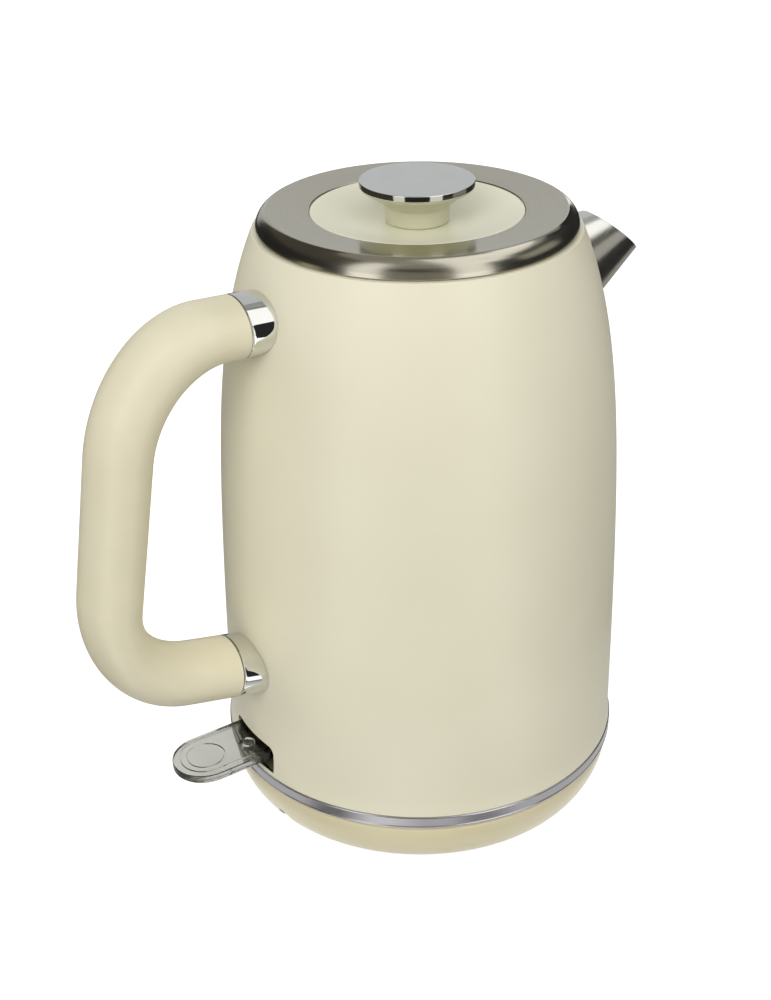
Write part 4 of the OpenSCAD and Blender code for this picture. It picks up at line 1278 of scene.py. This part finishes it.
def hide_from(obj, *rays):
    """Hides an object from some kinds of ray."""
    for ray in rays:
        setattr(obj, "visible_" + ray, False)


def soft_box(name, side, rise, energy):
    """A square lamp that faces the jug, and that no mirror or glass shows."""
    data = bpy.data.lights.new(name, "AREA")
    data.shape = "RECTANGLE"
    data.size = LAMP_SIZE
    data.size_y = LAMP_SIZE
    data.energy = energy
    lamp = add_object(name, data)
    way = Vector(studio_way(side, rise))
    lamp.location = Vector((0, 0, STUDIO_MIDDLE)) + way * LAMP_FAR
    lamp.rotation_mode = "QUATERNION"
    lamp.rotation_quaternion = way.to_track_quat("Z", "Y")
    hide_from(lamp, "camera", "glossy", "transmission")


def mirrored_panel(name, points, rows, material):
    """A sheet of the studio that only shows in polished metal and gloss."""
    faces = []
    for i in range(PANEL_COLUMNS):
        for j in range(rows):
            a = i * (rows + 1) + j
            b = a + rows + 1
            faces.append((a, b, b + 1, a + 1))
    mesh = bpy.data.meshes.new(name)
    mesh.from_pydata(points, [], faces)
    mesh.materials.append(material)
    panel = add_object(name, mesh)
    hide_from(panel, "camera", "diffuse", "transmission", "volume_scatter", "shadow")


def studio_flag(name, sides, rises, material):
    """An upright curved panel; its sides are angles from the camera, its rises are heights."""
    points = []
    for side in steps_between(*sides, PANEL_COLUMNS):
        for rise in steps_between(*rises, FLAG_ROWS):
            x, y, z = studio_way(side, rise)
            points.append((x * FLAG_FAR, y * FLAG_FAR, STUDIO_MIDDLE + z * FLAG_FAR))
    mirrored_panel(name, points, FLAG_ROWS, material)


def table_flag(name, sides, near, far, material):
    """A flat panel just above the worktop, between two distances from the jug's axis."""
    points = []
    for side in steps_between(*sides, PANEL_COLUMNS):
        x, y, _ = studio_way(side, 0)
        points += [(x * r, y * r, TABLE_GAP) for r in (near, far)]
    mirrored_panel(name, points, 1, material)


def studio_glows():
    """The glow of every studio panel by name."""
    made = {"black": stage_material("flag_black", (0.025, 0.025, 0.026, 1))}
    shades = {
        "smoke": (76, 73, 68),
        "dark": (132, 130, 122),
        "dim": (148, 146, 139),
        "olive": (70, 68, 58),
        "soft": (168, 167, 160),
        "grey": (199, 201, 202),
        "slate": (156, 162, 162),
        "above": (152, 150, 143),
    }
    for name, shade in shades.items():
        made[name] = stage_material("flag_" + name, srgb(*shade))
    dark_and_pale = [(-46, 200), (-37, 125), (-30, 125), (-18, 240), (-12, 240), (0, 200)]
    dim = [(9, 200), (18, 150), (24, 150), (36, 200)]
    made["near"] = ring_glow("flag_near", 200, dark_and_pale + dim)
    return made


def make_studio():
    """Soft boxes that light the kettle, and the panels that its metal mirrors."""
    glows = studio_glows()
    flags = [
        ("middle_low", (-26, 24), (-4, 20), "dark"),
        ("middle", (-26, 24), (20, 38), "black"),
        ("middle_high", (-26, 24), (38, 62), "dim"),
        ("above", (130, 384), (62, 88), "above"),
        ("right", (50, 74), (-4, 36), "black"),
        ("right_low", (74, 112), (-4, 8), "black"),
        ("right_soft", (74, 112), (8, 30), "soft"),
        ("right_high", (74, 112), (30, 46), "olive"),
        ("left", (-150, -49), (-4, 24), "black"),
        ("left_high", (-150, -49), (24, 62), "smoke"),
        ("far_low", (112, 142), (-4, 40), "black"),
        ("far_end", (142, 160), (-4, 30), "black"),
        ("far_right", (112, 142), (40, 46), "slate"),
        ("far", (142, 164), (30, 62), "slate"),
        ("far_left", (164, 210), (-4, 62), "grey"),
    ]
    for name, sides, rises, glow in flags:
        studio_flag("flag_" + name, sides, rises, glows[glow])
    tables = [
        ("middle", (-26, 24), 0.15, 2.3, "dark"),
        ("right", (50, 120), 0.15, 2.3, "black"),
        ("far_near", (120, 152), 0.15, 0.5, "dim"),
        ("far", (120, 180), 0.5, 2.3, "black"),
        ("left", (-180, -49), 0.15, 2.3, "black"),
        ("near", (-180, 180), 0.08, 0.15, "near"),
    ]
    for name, sides, near, far, glow in tables:
        table_flag("table_" + name, sides, near, far, glows[glow])
    soft_box("box_left", -27, 33, 10.7)
    soft_box("box_right", 42, 33, 6)
    soft_box("box_high", 5, 56, 4.6)
    soft_box("box_back", 176, 20, 6.5)
    soft_box("box_side", -112, 20, 5.4)
    soft_box("box_far", 116, 20, 2.4)


# ---- the kettle
def dress_nodes(nodes, looks):
    """Gives each CAD node that stays its own material."""
    dressed = {
        "base_plastic": ["base_bottom_cover"],
        "rubber": ["base_foot_ring", "cord_grommet"],
        "black_plastic": [
            "base_socket", "underside_cover", "kettle_connector",
            "control_unit", "lever_bracket", "lever_carrier",
        ],
        "grey_plastic": ["socket_shutter"],
        "white_plastic": ["trip_plunger"],
        "filter_plastic": ["filter_frame"],
        "woven_steel": ["filter_mesh"],
        "brass": ["base_contacts", "connector_contacts", "element_terminals"],
        "screw_steel": [
            "base_screws", "cover_screws", "handle_screws",
            "knob_screw", "lever_pin", "bimetal_discs",
        ],
        "inner_steel": ["heater_plate", "steam_tube", "filter_clips", "handle_pads", "lid_pan"],
        "cast_aluminium": ["heat_diffuser"],
        "heater_sheath": ["heating_element"],
        "silicone": ["plate_seal", "handle_gaskets", "lid_seal"],
        "amber_lamp": ["indicator_lamp"],
    }
    for look, names in dressed.items():
        for name in names:
            mesh = nodes[name].data
            mesh.materials.clear()
            mesh.materials.append(looks[look])


def make_looks():
    """Every material of the kettle by name."""
    makers = [
        cream_paint, cream_plastic, clear_plastic, black_plastic, painted_shade_plastic, grey_plastic,
        filter_plastic, white_plastic, lid_steel, trim_steel, spout_steel, woven_steel, chrome,
        brass, cast_aluminium, heater_sheath, rubber, silicone, amber_lamp,
    ]
    looks = {maker.__name__: maker() for maker in makers}
    plastics = {
        "base_plastic": ((218, 208, 171), (221, 211, 176)),
        "lid_plastic": ((225, 223, 199), (228, 226, 203)),
        # The knob post's copy of the lid plastic is darker: painted shade under the knob's disc.
        "knob_plastic_painted_shade": ((193, 192, 165), (197, 196, 170)),
    }
    for name, (first, second) in plastics.items():
        looks[name] = gloss_plastic(name, first, second)
    looks["inner_steel"] = drawn_steel("inner_steel", srgb(196, 195, 190))
    looks["screw_steel"] = drawn_steel("screw_steel", srgb(186, 186, 184))
    return looks


def make_kettle():
    """Dresses the frame: every visible piece of the base, the jug, the lever and the lid."""
    looks = make_looks()
    make_base_casing(looks["base_plastic"])
    make_jug_body(looks["cream_paint"], looks["inner_steel"])
    make_slot_lining(looks["painted_shade_plastic"])
    make_trim_band(looks["trim_steel"])
    make_spout(looks["spout_steel"])
    make_grip(looks["cream_plastic"])
    make_collar("collar_above", "top", looks["chrome"])
    make_collar("collar_below", "low", looks["chrome"])
    make_lever(looks["clear_plastic"])
    make_lid_cover(looks["lid_steel"])
    make_insert(looks["lid_plastic"])
    make_knob_post(looks["knob_plastic_painted_shade"])
    make_knob_disc(looks["chrome"])
    dress_nodes(frame["nodes"], looks)


make_camera()
make_kettle()
make_floor()
make_world()
make_studio()
bpy.context.scene.view_settings.view_transform = "Standard"
